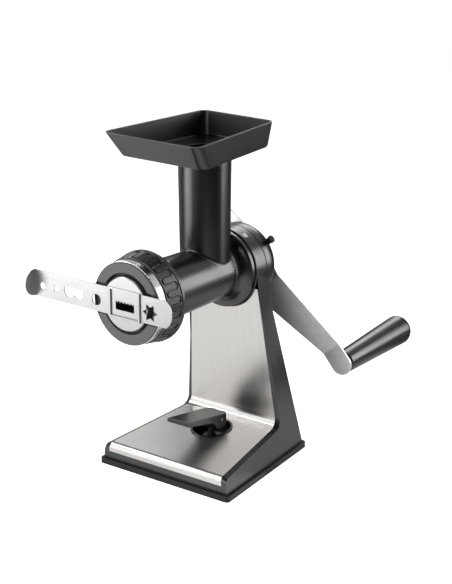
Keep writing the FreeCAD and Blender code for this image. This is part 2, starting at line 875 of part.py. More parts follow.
def make_suction_lever():
    """A flat handle with a round head on two cam cheeks; a slot holds the spindle's eye."""
    body = new_body("suction_lever")
    tip, head, pin = -D.lever_reach, D.lever_head_radius, D.pin_height
    corners = [(tip, lever_top(tip)), (tip, lever_top(tip) - D.lever_thickness),
               (-D.lever_cheek_front, lever_top(-D.lever_cheek_front) - D.lever_thickness * 1.5),
               (-D.lever_cheek_back / 3, pin - D.lever_cheek_drop),
               (D.lever_cheek_back, pin - D.lever_skirt_drop), (head, pin - D.lever_skirt_drop),
               (head, lever_top(head))]
    sketch = outline(new_sketch(body, "YZ_Plane"), corners)
    grow(body, "Pad", sketch, D.lever_width, Midplane=True)
    half, past = D.lever_width / 2, D.lever_thickness
    shoulder = root(head * head - half * half)
    plan = new_sketch(body, "XY_Plane", D.pin_height * 2)
    outline(plan, [(half, shoulder, head), (-half, shoulder), (-half - past, shoulder),
                   (-half - past, head + past), (half + past, head + past), (half + past, shoulder)])
    grow(body, "Pocket", plan, D.pin_height * 2)
    soften(body, "Fillet", D.lever_round, on_lever_top)
    slot = new_sketch(body, "YZ_Plane")
    room = D.spindle_eye_radius + D.free_gap
    outline(slot, [(-room - D.free_gap, pin + room), (-room - D.free_gap, Size(0)),
                   (D.lever_reach, Size(0)), (D.lever_reach, pin + room)])
    grow(body, "Pocket", slot, D.spindle_eye_width + D.free_gap * 2, Midplane=True)
    hole = new_sketch(body, "YZ_Plane")
    ring_line(hole, 0, pin, D.pin_radius + D.seat_gap / 2)
    grow(body, "Pocket", hole, D.lever_width * 2, Midplane=True)
    return body


def on_lever_top(edge):
    """True for the edges round the lever's flat top, apart from the one at its tip."""
    ends = [vertex.Point for vertex in edge.Vertexes]
    on_top = all(abs(p.z - lever_top(Size(p.y)).value) < 0.01 for p in ends)
    return on_top and edge.BoundBox.YMax > 1 - D.lever_reach.value


def make_lever_pin():
    return named(across(D.pin_radius, D.lever_width - D.free_gap * 2), "lever_pin")


def make_lock_pin():
    """A round pin with a flared knob, pushed through the head into the spigot."""
    body = new_body("lock_pin")
    start, shank, knob = D.spigot_radius - D.spigot_wall, D.lock_shank_radius, D.lock_head_radius
    under, reach, edge = D.head_radius + D.seat_gap, D.lock_reach, D.lock_head_radius * 0.15
    corners = [(0, start), (shank - edge, start), (shank, start + edge), (shank, under),
               (knob * 0.8, under), (knob * 0.8, under + edge * 3), (knob, reach - edge * 3),
               (knob, reach - edge), (knob - edge, reach), (0, reach)]
    sketch = outline(new_sketch(body, "XZ_Plane"), corners)
    grow(body, "Revolution", sketch, ReferenceAxis=(sketch, ["V_Axis"]), Angle=360)
    return lock_axis(body, Size(0))


def spigot_end():
    return D.head_back - D.head_back_wall - D.free_gap


def make_grinder_housing():
    """Collar, tapered barrel, flared bell and spigot turned in one piece, with the feed tube."""
    collar_end = -(D.barrel_front - D.collar_length)
    cone_end = collar_end + (D.collar_radius - D.barrel_front_radius) / 2
    flare = D.bell_radius - D.barrel_back_radius
    edge = D.bell_edge_width * 0.15
    corners = [(-D.barrel_front, 0), (-D.barrel_front, D.collar_radius), (collar_end, D.collar_radius),
               (cone_end, D.barrel_front_radius), (D.bell_edge - flare, D.barrel_back_radius, flare * 1.05),
               (D.bell_edge - edge, D.bell_radius), (D.bell_edge + D.bell_edge_width, D.bell_radius),
               (D.bell_edge + D.bell_edge_width, D.bell_radius - edge * 3),
               (D.head_front - D.seat_gap, D.bell_radius - edge * 3), (D.head_front - D.seat_gap, D.spigot_radius),
               (spigot_end(), D.spigot_radius), (spigot_end(), 0)]
    body = turned("housing_casting", corners)
    height = TUBE_TOP - D.seat_gap - D.axis_height
    tube = ring_line(new_sketch(body, "XY_Plane"), 0, D.tube_back, D.tube_foot_radius)
    pad = grow(body, "Pad", tube, height)
    bind(pad, "TaperAngle", angle_with_tangent((D.tube_top_radius - D.tube_foot_radius) / height))
    soften(body, "Fillet", D.tube_fillet, tube_seam)
    inside = D.spigot_radius - D.spigot_wall
    before = -(D.barrel_front + D.free_gap)
    after = spigot_end() + D.free_gap
    bore = [(before, 0), (before, D.barrel_bore), (D.web_front, D.barrel_bore), (D.web_front, bush_seat()),
            (D.web_back, bush_seat()), (D.web_back, inside), (after, inside), (after, 0)]
    sketch = outline(new_sketch(body, "YZ_Plane"), bore)
    grow(body, "Groove", sketch, ReferenceAxis=(sketch, ["H_Axis"]), Angle=360)
    throat = ring_line(new_sketch(body, "XY_Plane"), 0, D.tube_back, D.tube_bore)
    grow(body, "Pocket", throat, height + D.free_gap, Reversed=True)
    return cut(body, [lock_hole()], "grinder_housing")


def tube_seam(edge):
    """True for the curve where the feed tube meets the barrel, in front of the flare."""
    box = edge.BoundBox
    flare_start = float(D.bell_edge - D.bell_radius + D.barrel_back_radius)
    below_flare = box.YMax < flare_start + 0.01
    return below_flare and box.ZMin > 0 and edge.Curve.TypeId == "Part::GeomBSplineCurve"


def make_rear_bush():
    inside, outside = D.shaft_radius + D.running_gap, D.shaft_radius + D.bush_wall
    lip = outside + D.bush_wall
    return turned("rear_bush", [(D.web_front - D.bush_flange, inside), (D.web_front - D.bush_flange, lip),
                                (D.web_front - D.seat_gap, lip), (D.web_front - D.seat_gap, outside),
                                (D.web_back + D.bush_flange, outside), (D.web_back + D.bush_flange, inside)])


def make_shaft_seal():
    inside = bush_seat()
    outside = inside + D.bush_wall * 2
    start = D.web_back + D.seat_gap
    return turned("shaft_seal", [(start, inside), (start, outside), (start + D.seal_thickness, outside),
                                 (start + D.seal_thickness, inside)])


def auger_back():
    return D.web_front - D.bush_flange - D.free_gap


def square_box(width, start, end):
    """A square bar along Y about the barrel's axis, in the crank's own frame."""
    box = solid("Box", Length=width, Width=end - start, Height=width)
    return place(box, -width / 2, start, -width / 2)


def crank_place(item):
    """Turn a part of the crank to its resting angle and put it on the barrel's axis."""
    return place(item, z=D.axis_height, axis=(0, -1, 0), angle=D.arm_angle)


def make_auger():
    """A feed screw: a tapered core with one flight that just clears the barrel."""
    body = new_body("auger_screw")
    front, nose = -D.auger_front, D.auger_core * 0.7
    corners = [(front, 0), (front, nose), (front + D.auger_core, D.auger_core),
               (auger_back(), D.auger_core * 1.2), (auger_back(), 0)]
    sketch = outline(new_sketch(body, "YZ_Plane"), corners)
    grow(body, "Revolution", sketch, ReferenceAxis=(sketch, ["H_Axis"]), Angle=360)
    start, half = front + D.auger_flight, D.auger_flight / 2
    root_at, tip = D.auger_core * 0.6, D.barrel_bore - D.free_gap
    blade = [(start, root_at), (start + half * 0.4, tip), (start + half * 1.6, tip),
             (start + half * 2, root_at)]
    sketch = outline(new_sketch(body, "YZ_Plane"), blade)
    doc.recompute()
    flight = body.newObject("PartDesign::AdditiveHelix", "flight")
    flight.Profile = sketch
    flight.ReferenceAxis = (sketch, ["H_Axis"])
    flight.Mode = 0
    bind(flight, "Pitch", D.auger_pitch)
    bind(flight, "Height", auger_back() - D.auger_flight * 2 - start)
    sketch.Visibility = False
    doc.recompute()
    socket = square_box(D.square_width + D.seat_gap * 2, auger_back() - D.square_width,
                        auger_back() + D.seat_gap)
    return crank_place(cut(body, [socket], "auger"))


def crank_face():
    """Front face of the crank arm's hub."""
    return D.arm_place


def make_drive_shaft():
    """A round shaft with a square for the auger, a square for the crank and a stud for the nut."""
    body = new_body("shaft_round")
    square_end = crank_face() + D.arm_thickness - D.seat_gap
    stud = D.shaft_radius * 0.6
    corners = [(auger_back() + D.seat_gap, 0), (auger_back() + D.seat_gap, D.shaft_radius),
               (crank_face() - D.seat_gap, D.shaft_radius), (crank_face() - D.seat_gap, stud),
               (square_end + D.crank_nut_height * 0.8, stud), (square_end + D.crank_nut_height * 0.8, 0)]
    sketch = outline(new_sketch(body, "YZ_Plane"), corners)
    grow(body, "Revolution", sketch, ReferenceAxis=(sketch, ["H_Axis"]), Angle=360)
    front = square_box(D.square_width, auger_back() - D.square_width + D.seat_gap, D.web_front)
    back = square_box(D.square_width, crank_face() - D.free_gap, square_end)
    return crank_place(join([body, front, back], "drive_shaft"))


def make_hub_washer():
    inside = D.shaft_radius + D.seat_gap
    front = D.head_back + D.free_gap
    back = crank_face() - D.seat_gap
    edge = (back - front) / 4
    return turned("hub_washer", [(front, inside), (front, D.hub_washer_radius - edge),
                                 (front + edge, D.hub_washer_radius), (back - edge, D.hub_washer_radius),
                                 (back, D.hub_washer_radius - edge), (back, inside)])


def arm_step():
    """How far back the second bend of the arm lies."""
    return (D.arm_second_bend - D.arm_first_bend) * tangent(D.arm_slant_angle)


def end_plate(down):
    """Front face of the arm's end plate, at a distance down from the hub."""
    return crank_face() + arm_step() + tangent(D.arm_end_angle) * (down - D.arm_second_bend)


def grip_root():
    """Back face of the end plate on the grip's axis."""
    return end_plate(D.crank_radius) + D.arm_thickness / cosine(D.arm_end_angle)


def make_crank_arm():
    """A flat strip bent twice, with a wide round hub, a short tail and a round end."""
    strip = new_body("arm_strip")
    front, thick = crank_face(), D.arm_thickness
    back = front + thick
    half_turn = (D.arm_slant_angle - D.arm_end_angle) / 2
    middle = (D.arm_slant_angle + D.arm_end_angle) / 2
    top = D.arm_tail + D.arm_tail_half + thick
    low = D.crank_radius + D.arm_end_radius + thick
    first = (front, -D.arm_first_bend)
    first_back = (back, first[1] + thick * tangent(D.arm_slant_angle / 2))
    second = (front + arm_step(), -D.arm_second_bend)
    second_back = (second[0] + thick * cosine(middle) / cosine(half_turn),
                   second[1] + thick * sine(middle) / cosine(half_turn))
    corners = [(front, top), first, second, (end_plate(low), -low),
               (end_plate(low) + thick / cosine(D.arm_end_angle), -low), second_back, first_back, (back, top)]
    sketch = outline(new_sketch(strip, "YZ_Plane"), corners)
    grow(strip, "Pad", sketch, (D.arm_hub_radius + thick) * 2, Midplane=True)
    soften(strip, "Fillet", D.arm_bend_radius + thick, crosswise_at(*first))
    soften(strip, "Fillet", D.arm_bend_radius, crosswise_at(*first_back))
    soften(strip, "Fillet", D.arm_bend_radius, crosswise_at(*second))
    soften(strip, "Fillet", D.arm_bend_radius + thick, crosswise_at(*second_back))
    plan = new_body("arm_plan")
    hub, tail, tip = D.arm_hub_radius, D.arm_tail_half, D.arm_end_radius
    up = angle_with_sine((hub - tail) / D.arm_tail)
    down = angle_with_sine((hub - D.arm_neck_half) / D.arm_second_bend)
    side_points = [(tail * cosine(up), D.arm_tail + tail * sine(up)), (hub * cosine(up), hub * sine(up)),
                   (hub * cosine(down), -(hub * sine(down))), (D.arm_neck_half, -D.arm_second_bend),
                   (tip * cosine(down), -D.crank_radius - tip * sine(down))]
    (tail_x, tail_z), (up_x, up_z), (down_x, down_z), (neck_x, neck_z), (tip_x, tip_z) = side_points
    corners = [(tail_x, tail_z), (up_x, up_z, -hub), (down_x, down_z), (neck_x, neck_z),
               (tip_x, tip_z, -tip), (-tip_x, tip_z), (-neck_x, neck_z), (-down_x, down_z, -hub),
               (-up_x, up_z), (-tail_x, tail_z, -tail)]
    sketch = outline(new_sketch(plan, "XZ_Plane"), corners)
    grow(plan, "Pad", sketch, (end_plate(low) + thick * 2) * 2, Midplane=True)
    arm = shared(strip, plan)
    eye = square_box(D.square_width + D.seat_gap * 2, Size(0), back + thick)
    return crank_place(cut(arm, [eye], "crank_arm"))


def make_crank_nut():
    """A round hand nut with finger grooves."""
    body = new_body("nut_blank")
    front = crank_face() + D.arm_thickness + D.seat_gap
    back = front + D.crank_nut_height
    stud = D.shaft_radius * 0.6 + D.seat_gap
    edge = D.crank_nut_radius / 8
    corners = [(front, stud), (front, D.crank_nut_radius * 0.8), (front + edge * 2, D.crank_nut_radius),
               (back - edge * 1.5, D.crank_nut_radius), (back, D.crank_nut_radius - edge * 1.5),
               (back, 0), (back - D.crank_nut_height * 0.15, 0), (back - D.crank_nut_height * 0.15, stud)]
    sketch = outline(new_sketch(body, "YZ_Plane"), corners)
    grow(body, "Revolution", sketch, ReferenceAxis=(sketch, ["H_Axis"]), Angle=360)
    notch = new_sketch(body, "XZ_Plane", -(back + edge))
    ring_line(notch, D.crank_nut_radius * 1.12, 0, edge * 1.6)
    pocket = grow(body, "Pocket", notch, D.crank_nut_height + edge * 2, Reversed=True)
    pattern_round(body, pocket, "Y_Axis", 10)
    return place(named(body, "crank_nut"), z=D.axis_height)


def pattern_round(body, feature, axis, count):
    pattern = body.newObject("PartDesign::PolarPattern", body.Name + "_pattern")
    pattern.Originals = [feature]
    pattern.Axis = (origin_part(body, axis), [""])
    pattern.Angle = 360
    if isinstance(count, Size):
        bind(pattern, "Occurrences", count)
    else:
        pattern.Occurrences = count
    body.Tip = pattern
    doc.recompute()
    return pattern


def turned_on_grip(label, corners):
    """A body turned about the grip's axis from (distance behind the end plate, radius) corners."""
    body = new_body(label)
    sketch = body.newObject("Sketcher::SketchObject", body.Name + "_sketch")
    sketch.AttachmentSupport = [(origin_part(body, "YZ_Plane"), "")]
    sketch.MapMode = "FlatFace"
    tilt = FreeCAD.Rotation(V(0, 0, 1), D.arm_end_angle.value)
    sketch.AttachmentOffset = FreeCAD.Placement(V(0, 0, 0), tilt)
    bind(sketch, ".AttachmentOffset.Rotation.Angle", D.arm_end_angle)
    bind(sketch, ".AttachmentOffset.Base.x", grip_root())
    bind(sketch, ".AttachmentOffset.Base.y", -D.crank_radius)
    outline(sketch, corners)
    grow(body, "Revolution", sketch, ReferenceAxis=(sketch, ["H_Axis"]), Angle=360)
    return crank_place(body)


def axle_end():
    return D.grip_gap + D.grip_length - D.grip_axle_radius * 1.5


def make_grip_axle():
    """A stud welded to the back of the arm's end plate, with a collar that spaces the grip."""
    collar, radius = D.grip_gap - D.free_gap, D.grip_axle_radius
    return turned_on_grip("grip_axle", [(0, 0), (0, D.grip_spacer_radius), (collar, D.grip_spacer_radius),
                                        (collar, radius), (axle_end(), radius), (axle_end(), 0)])


def make_grip():
    """A tapered handle, thicker at its free end, with a blind bore for the axle."""
    front, back = D.grip_gap, D.grip_gap + D.grip_length
    bore = D.grip_axle_radius + D.running_gap
    bottom = axle_end() + D.free_gap
    edge = D.grip_edge
    return turned_on_grip("grip", [(front, bore), (front, D.grip_thin_radius - edge),
                                   (front + edge, D.grip_thin_radius),
                                   (back - D.grip_end_radius, D.grip_fat_radius, -D.grip_end_radius * 1.02),
                                   (back, D.grip_fat_radius - D.grip_end_radius), (back, 0), (bottom, 0),
                                   (bottom, bore)])


def nut_inside():
    return D.collar_radius + D.free_gap


def cone_back():
    """Where the nut's cone ends, at the small groove in front of its lip."""
    return -(D.nut_back + D.nut_lip_width + D.nut_groove)


def nut_taper():
    """Angle between the nut's cone and its axis."""
    return angle_with_tangent((D.nut_radius - D.nut_front_radius) / (cone_back() + D.nut_front))


def cone_sketch(body, turn):
    """A sketch that lies on the nut's cone: its X runs round the nut, its Y from the front edge back."""
    meridian = body.newObject("PartDesign::Plane", body.Name + "_meridian")
    meridian.AttachmentSupport = [(origin_part(body, "XY_Plane"), "")]
    meridian.MapMode = "FlatFace"
    if turn.value:
        meridian.AttachmentOffset = FreeCAD.Placement(V(0, 0, 0), FreeCAD.Rotation(V(0, 1, 0), turn.value))
        bind(meridian, ".AttachmentOffset.Rotation.Angle", turn)
    sketch = body.newObject("Sketcher::SketchObject", body.Name + "_sketch")
    sketch.AttachmentSupport = [(meridian, "")]
    sketch.MapMode = "FlatFace"
    lift = FreeCAD.Rotation(V(1, 0, 0), nut_taper().value)
    sketch.AttachmentOffset = FreeCAD.Placement(V(0, 0, 0), lift)
    bind(sketch, ".AttachmentOffset.Rotation.Angle", nut_taper())
    bind(sketch, ".AttachmentOffset.Base.y", -D.nut_front)
    bind(sketch, ".AttachmentOffset.Base.z", D.nut_front_radius + D.free_gap)
    return sketch


def cut_meander(body):
    """Cut the meander: runs along the nut, joined by crescents in front and wide pockets behind."""
    step = 90 / D.meander_count
    half, depth = D.meander_width / 2, D.meander_depth + D.free_gap
    start, end = D.meander_margin, (cone_back() + D.nut_front) / cosine(nut_taper()) - D.meander_margin
    front_reach = D.nut_front_radius * sine(step) + half
    back_reach = D.nut_radius * sine(step) + half
    run_front, run_back = start + front_reach, end - back_reach
    inner = front_reach - half * 2
    sag = front_reach - D.meander_crescent
    inner_radius = (inner * inner + sag * sag) / (sag * 2)
    back = end - D.meander_pocket
    crescent = cone_sketch(body, Size(0))
    outline(crescent, [(-front_reach, run_front, front_reach), (0, start, front_reach),
                       (front_reach, run_front), (inner, run_front, -inner_radius),
                       (0, run_front - sag, -inner_radius), (-inner, run_front)])
    pattern_round(body, grow(body, "Pocket", crescent, depth), "Y_Axis", D.meander_count)
    runs = cone_sketch(body, step)
    outline(runs, [(-half, run_front), (half, run_front), (half, run_back), (-half, run_back)])
    pattern_round(body, grow(body, "Pocket", runs, depth), "Y_Axis", D.meander_count * 2)
    pocket = cone_sketch(body, step * 2)
    outline(pocket, [(-back_reach, back), (back_reach, back), (back_reach, run_back, back_reach),
                     (0, end, back_reach), (-back_reach, run_back)])
    pattern_round(body, grow(body, "Pocket", pocket, depth), "Y_Axis", D.meander_count)


def make_ring_nut():
    """A screwed ring, slightly conical, with a meander groove all round and a plain rear lip."""
    body = new_body("ring_nut")
    front, back = -D.nut_front, -D.nut_back
    lip = back - D.nut_lip_width
    shoulder = -(D.barrel_front + D.seat_gap * 3 + D.ring_flange)
    bore, edge, groove = D.ring_radius + D.free_gap, D.nut_front_edge, D.nut_groove
    corners = [(front, bore), (front, D.nut_front_radius - edge), (front + edge, D.nut_front_radius),
               (cone_back(), D.nut_radius), (cone_back(), D.nut_radius - groove),
               (lip, D.nut_radius - groove), (lip, D.nut_lip_radius - edge), (lip + edge, D.nut_lip_radius),
               (back - groove, D.nut_lip_radius), (back, D.nut_lip_radius - groove), (back, nut_inside()),
               (shoulder, nut_inside()), (shoulder, bore)]
    sketch = outline(new_sketch(body, "YZ_Plane"), corners)
    grow(body, "Revolution", sketch, ReferenceAxis=(sketch, ["H_Axis"]), Angle=360)
    cut_meander(body)
    return place(body, z=D.axis_height)


def make_steel_band():
    """A thin spun ring that stands on the nut's front face and hides the gap round the ring."""
    front, back = -D.band_front, -D.nut_front
    inside, edge = D.ring_radius + D.free_gap, D.band_thickness / 2
    outside = inside + D.band_thickness
    return turned("steel_band", [(front, inside), (front, outside - edge), (front + edge, outside),
                                 (back, outside), (back, inside)])


def make_attachment_ring():
    """A thick ring with a seating flange, a channel across its face and a slotted web."""
    back = -(D.barrel_front + D.seat_gap * 2)
    flange = back - D.ring_flange
    front = -D.ring_front
    edge = D.ring_flange / 3
    rim = D.collar_radius - D.seat_gap * 2
    body = turned("attachment_ring", [(back, 0), (front, 0), (front, D.ring_radius - edge),
                                      (front + edge, D.ring_radius), (flange, D.ring_radius),
                                      (flange, rim), (back, rim)])
    hole = ring_line(new_sketch(body, "XZ_Plane", D.ring_front), 0, 0, D.ring_hole)
    grow(body, "Pocket", hole, D.ring_hole_depth)
    channel = new_sketch(body, "XZ_Plane", D.ring_front)
    rectangle(channel, (D.ring_radius + D.channel_depth) * 2, D.channel_height)
    grow(body, "Pocket", channel, D.channel_depth)
    window = rectangle(new_sketch(body, "XZ_Plane", D.ring_front), D.window_width, D.window_height)
    grow(body, "Pocket", window, D.ring_front)
    return body


def rectangle(sketch, width, height, x=0, y=0):
    left, right, low, high = x - width / 2, x + width / 2, y - height / 2, y + height / 2
    return outline(sketch, [(left, low), (right, low), (right, high), (left, high)])


def strip_front():
    """Front face of the sliding strip, just behind the bridge."""
    return -(D.disc_front - D.seat_gap)


def make_attachment_disc():
    """A pressed sheet disc with a turned rim and a raised bridge that the strip slides under."""
    front, thick, radius = -D.disc_front, D.disc_sheet, D.disc_radius
    rim_back = -(D.ring_front - D.ring_hole_depth + D.seat_gap)
    body = turned("attachment_disc", [(front, 0), (front, radius - thick), (front + thick, radius),
                                      (rim_back, radius), (rim_back, radius - thick),
                                      (front + thick, radius - thick), (front + thick, 0)])
    room = D.strip_height + D.seat_gap * 2
    raised = D.disc_sheet + D.free_gap
    block = new_sketch(body, "XZ_Plane", D.disc_front - thick)
    rectangle(block, D.bridge_width, D.bridge_height)
    grow(body, "Pad", block, thick + raised)
    soften(body, "Fillet", thick * 0.8, lambda edge: edge.BoundBox.YMax < -(D.disc_front + raised).value + 0.01)
    passage = new_sketch(body, "YZ_Plane")
    back = strip_front() + D.strip_thickness + D.seat_gap
    outline(passage, [(front - raised + thick, -room / 2), (back, -room / 2), (back, room / 2),
                      (front - raised + thick, room / 2)])
    grow(body, "Pocket", passage, (radius + thick) * 2, Midplane=True)
    window = rectangle(new_sketch(body, "XZ_Plane", D.disc_front + raised), D.window_width, D.window_height)
    grow(body, "Pocket", window, thick * 2)
    return body


def star(x, y, outer):
    """Corners of a six-pointed star whose points look along the strip and to both sides."""
    corners = []
    for index in range(STAR_POINTS * 2):
        radius = outer * STAR_WAIST if index % 2 else outer
        angle = Size(180 / STAR_POINTS * index)
        corners.append((x + radius * cosine(angle), y + radius * sine(angle)))
    return corners


def scallops(x, y):
    """A slot with a flat top and two round lobes below."""
    half, rise = D.scallop_width / 2, D.scallop_height / 2
    lobe = D.scallop_width / 4 * 1.05
    chord = D.scallop_width / 4
    drop = lobe - root(lobe * lobe - chord * chord)
    level = y + drop - rise
    return [(x - half, level, lobe), (x, level, lobe), (x + half, level), (x + half, y + rise),
            (x - half, y + rise)]


def ribbed_slot(x, y):
    """A slot with a row of pointed ribs along its top."""
    half, rise = D.rib_hole_width / 2, D.rib_hole_height / 2
    pitch = D.rib_hole_width / D.rib_count
    corners = [(x - half, y - rise), (x + half, y - rise)]
    for index in range(int(D.rib_count.value)):
        right = x + half - pitch * index
        corners += [(right, y + rise), (right - pitch / 2, y + rise - pitch * 0.6)]
    return corners + [(x - half, y + rise)]


def make_shape_strip():
    """A long flat strip with a row of shaped holes and a finger tab bent forward."""
    body = new_body("shape_strip")
    front = -strip_front()
    half = D.strip_height / 2
    plate = outline(new_sketch(body, "XZ_Plane", front - D.strip_thickness),
                    [(-D.strip_left, -half), (D.strip_right, -half, D.strip_end_radius),
                     (D.strip_right, half), (-D.strip_left, half)])
    grow(body, "Pad", plate, D.strip_thickness)
    tab = new_sketch(body, "YZ_Plane", -D.strip_left)
    root_y, tip = -front + D.strip_thickness, -front - D.tab_reach
    outline(tab, [(root_y, -half), (root_y, half), (-front, half, half), (-front - half, 0, half),
                  (-front, -half)])
    grow(body, "Pad", tab, D.strip_thickness)
    holes = new_sketch(body, "XZ_Plane", front)
    line = -D.hole_drop
    ring_line(holes, D.small_hole_place, line, D.small_hole_radius)
    ring_line(holes, D.round_hole_place, line, D.round_hole_radius)
    outline(holes, star(D.small_star_place, line, D.small_star_radius))
    outline(holes, star(D.star_place, line, D.star_radius))
    outline(holes, scallops(D.scallop_place, line))
    outline(holes, ribbed_slot(Size(0), line))
    grow(body, "Pocket", holes, D.strip_thickness * 2)
    return place(body, z=D.axis_height)


def make_feed_tray():
    """A deep tray with sloping sides, on a round collar that drops into the feed tube."""
    body = new_body("feed_tray")
    front, back, rim, past = -D.tray_front, D.tray_back, D.tray_rim_height, D.tray_wall
    corners = [(-D.tray_front_half, front), (D.tray_front_half, front), (D.tray_back_half, back),
               (-D.tray_back_half, back)]
    pad = grow(body, "Pad", outline(new_sketch(body, "XY_Plane", rim), corners), D.tray_depth, Reversed=True)
    bind(pad, "TaperAngle", -angle_with_tangent(D.tray_side_slope / D.tray_depth))
    run = D.tray_front_slope / D.tray_depth
    slant = outline(new_sketch(body, "YZ_Plane"),
                    [(front - run * past, rim + past), (front - run * past, TUBE_TOP - past),
                     (front + D.tray_front_slope + run * past, TUBE_TOP - past)])
    grow(body, "Pocket", slant, (D.tray_front_half + past) * 2, Midplane=True)
    soften(body, "Fillet", D.tray_corner, leaning_up)
    low = TUBE_TOP.value + 0.01
    soften(body, "Fillet", D.tray_floor_radius, lambda edge: edge.BoundBox.ZMax < low)
    high = D.tray_rim_height.value - 0.01
    base = body.Tip
    top = [f"Face{n}" for n, face in enumerate(base.Shape.Faces, 1) if face.BoundBox.ZMin > high]
    shell = body.newObject("PartDesign::Thickness", "tray_shell")
    shell.Base = (base, top)
    bind(shell, "Value", D.tray_wall)
    shell.Reversed = True
    shell.Join = 0
    doc.recompute()
    collar = new_sketch(body, "XY_Plane", TUBE_TOP + D.tray_wall / 2)
    ring_line(collar, 0, D.tube_back, D.tube_bore - D.running_gap)
    grow(body, "Pad", collar, D.tray_collar_length + D.tray_wall / 2, Reversed=True)
    throat = new_sketch(body, "XY_Plane", TUBE_TOP + D.tray_wall * 2)
    ring_line(throat, 0, D.tube_back, D.tube_bore - D.running_gap - D.tray_wall)
    grow(body, "Pocket", throat, D.tray_collar_length + D.tray_wall * 3)
    return body


def leaning_up(edge):
    box = edge.BoundBox
    return box.ZLength > box.XLength and box.ZLength > 1


# How closely the printed facet counts follow the curves, in millimetres and radians
FACET_GAP = 0.4
FACET_ANGLE = 0.5
PIECES = [make_suction_mat, make_base_plate, make_base_screws, make_stand_core, make_stand_frame,
          make_steel_sheet, make_recess_cup, make_suction_spindle, make_suction_lever, make_lever_pin,
          make_lock_pin, make_grinder_housing, make_rear_bush, make_shaft_seal, make_auger,
          make_drive_shaft, make_hub_washer, make_crank_arm, make_crank_nut, make_grip_axle, make_grip,
          make_ring_nut, make_steel_band, make_attachment_ring, make_attachment_disc, make_shape_strip,
          make_feed_tray]


def write_pieces(pieces):
    """Check every object and write each piece to its own file."""
    doc.recompute()
    for item in doc.Objects:
        if "Invalid" in item.State or "Error" in item.State:
            raise ValueError(f"{item.Label} is not built: {item.State}")
    os.makedirs("parts", exist_ok=True)
    triangles = 0
    for piece in pieces:
        if piece.Shape.isNull() or not piece.Shape.isValid():
            raise ValueError(f"{piece.Label} has no valid shape")
        box = piece.Shape.BoundBox
        facets = MeshPart.meshFromShape(Shape=piece.Shape, LinearDeflection=FACET_GAP,
                                        AngularDeflection=FACET_ANGLE)
        count = facets.CountFacets
        triangles += count
        print(f"{piece.Label}: {len(piece.Shape.Solids)} solids, {piece.Shape.Volume / 1000:.1f} ml, "
              f"{count} facets, x {box.XMin:.1f} {box.XMax:.1f} y {box.YMin:.1f} {box.YMax:.1f} "
              f"z {box.ZMin:.1f} {box.ZMax:.1f}")
        piece.Shape.exportStep(f"parts/{piece.Label}.step")
    print(triangles, "facets in all")


write_pieces([make() for make in PIECES])
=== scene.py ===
# %% [markdown]
# A hand cranked grinder, dressed for its portrait.
#
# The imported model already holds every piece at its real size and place. This file adds what a
# model of plain solids lacks: the finish of each surface, the small printed mark on the drum,
# the light and the camera. The pieces stay where they are, and only what their surfaces look
# like changes.

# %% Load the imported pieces
import json
import math

import bmesh
import bpy
from mathutils import Matrix, Vector
from mathutils.bvhtree import BVHTree


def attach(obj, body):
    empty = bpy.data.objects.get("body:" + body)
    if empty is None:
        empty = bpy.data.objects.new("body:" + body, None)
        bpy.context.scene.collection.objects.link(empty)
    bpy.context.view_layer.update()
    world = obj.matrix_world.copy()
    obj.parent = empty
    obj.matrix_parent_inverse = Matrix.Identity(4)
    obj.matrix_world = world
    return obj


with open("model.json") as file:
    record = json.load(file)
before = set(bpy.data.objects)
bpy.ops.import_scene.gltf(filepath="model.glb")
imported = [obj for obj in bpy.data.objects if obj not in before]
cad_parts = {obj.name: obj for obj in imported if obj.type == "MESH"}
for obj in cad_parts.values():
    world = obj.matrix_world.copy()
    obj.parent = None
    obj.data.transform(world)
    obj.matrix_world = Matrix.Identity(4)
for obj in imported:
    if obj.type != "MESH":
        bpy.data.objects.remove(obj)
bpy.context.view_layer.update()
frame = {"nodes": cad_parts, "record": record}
nodes = frame["nodes"]
record = frame["record"]

# %% [markdown]
# Every finish below is a graph of shader nodes. A few short helpers keep the graphs readable:
# one adds a node and fills or links its inputs by name, one does a sum, one spreads a value
# over a new range, and one mixes two colours. Written out by hand, each material would take
# fifty lines of links, and the idea would be lost.

# %% Helpers for shader graphs
MIX_FACTOR, MIX_FIRST, MIX_SECOND, MIX_RESULT = 0, 6, 7, 2


def fill(tree, socket, value):
    """Links another node's output to an input, or writes a plain value into it."""
    if isinstance(value, bpy.types.NodeSocket):
        tree.links.new(value, socket)
    else:
        socket.default_value = value


def put(tree, kind, settings=None, **inputs):
    """Adds a node. An input's name has _ for a space. It takes a value or a node's output."""
    node = tree.nodes.new(kind)
    for key, value in (settings or {}).items():
        setattr(node, key, value)
    for key, value in inputs.items():
        fill(tree, node.inputs[key.replace("_", " ")], value)
    return node


def calc(tree, operation, first, second):
    """The result of one Math node, kept between 0 and 1."""
    node = tree.nodes.new("ShaderNodeMath")
    node.operation = operation
    node.use_clamp = True
    for socket, value in zip(node.inputs, (first, second)):
        fill(tree, socket, value)
    return node.outputs[0]


def spread(tree, value, low, high, start=0.0, end=1.0):
    """Takes a value that runs from start to end, and lets it run from low to high."""
    node = put(tree, "ShaderNodeMapRange", Value=value, From_Min=start, From_Max=end,
               To_Min=low, To_Max=high)
    return node.outputs["Result"]


def blend_colours(tree, factor, first, second):
    """A mix of two colours."""
    node = tree.nodes.new("ShaderNodeMix")
    node.data_type = "RGBA"
    for place, value in ((MIX_FACTOR, factor), (MIX_FIRST, first), (MIX_SECOND, second)):
        fill(tree, node.inputs[place], value)
    return node.outputs[MIX_RESULT]
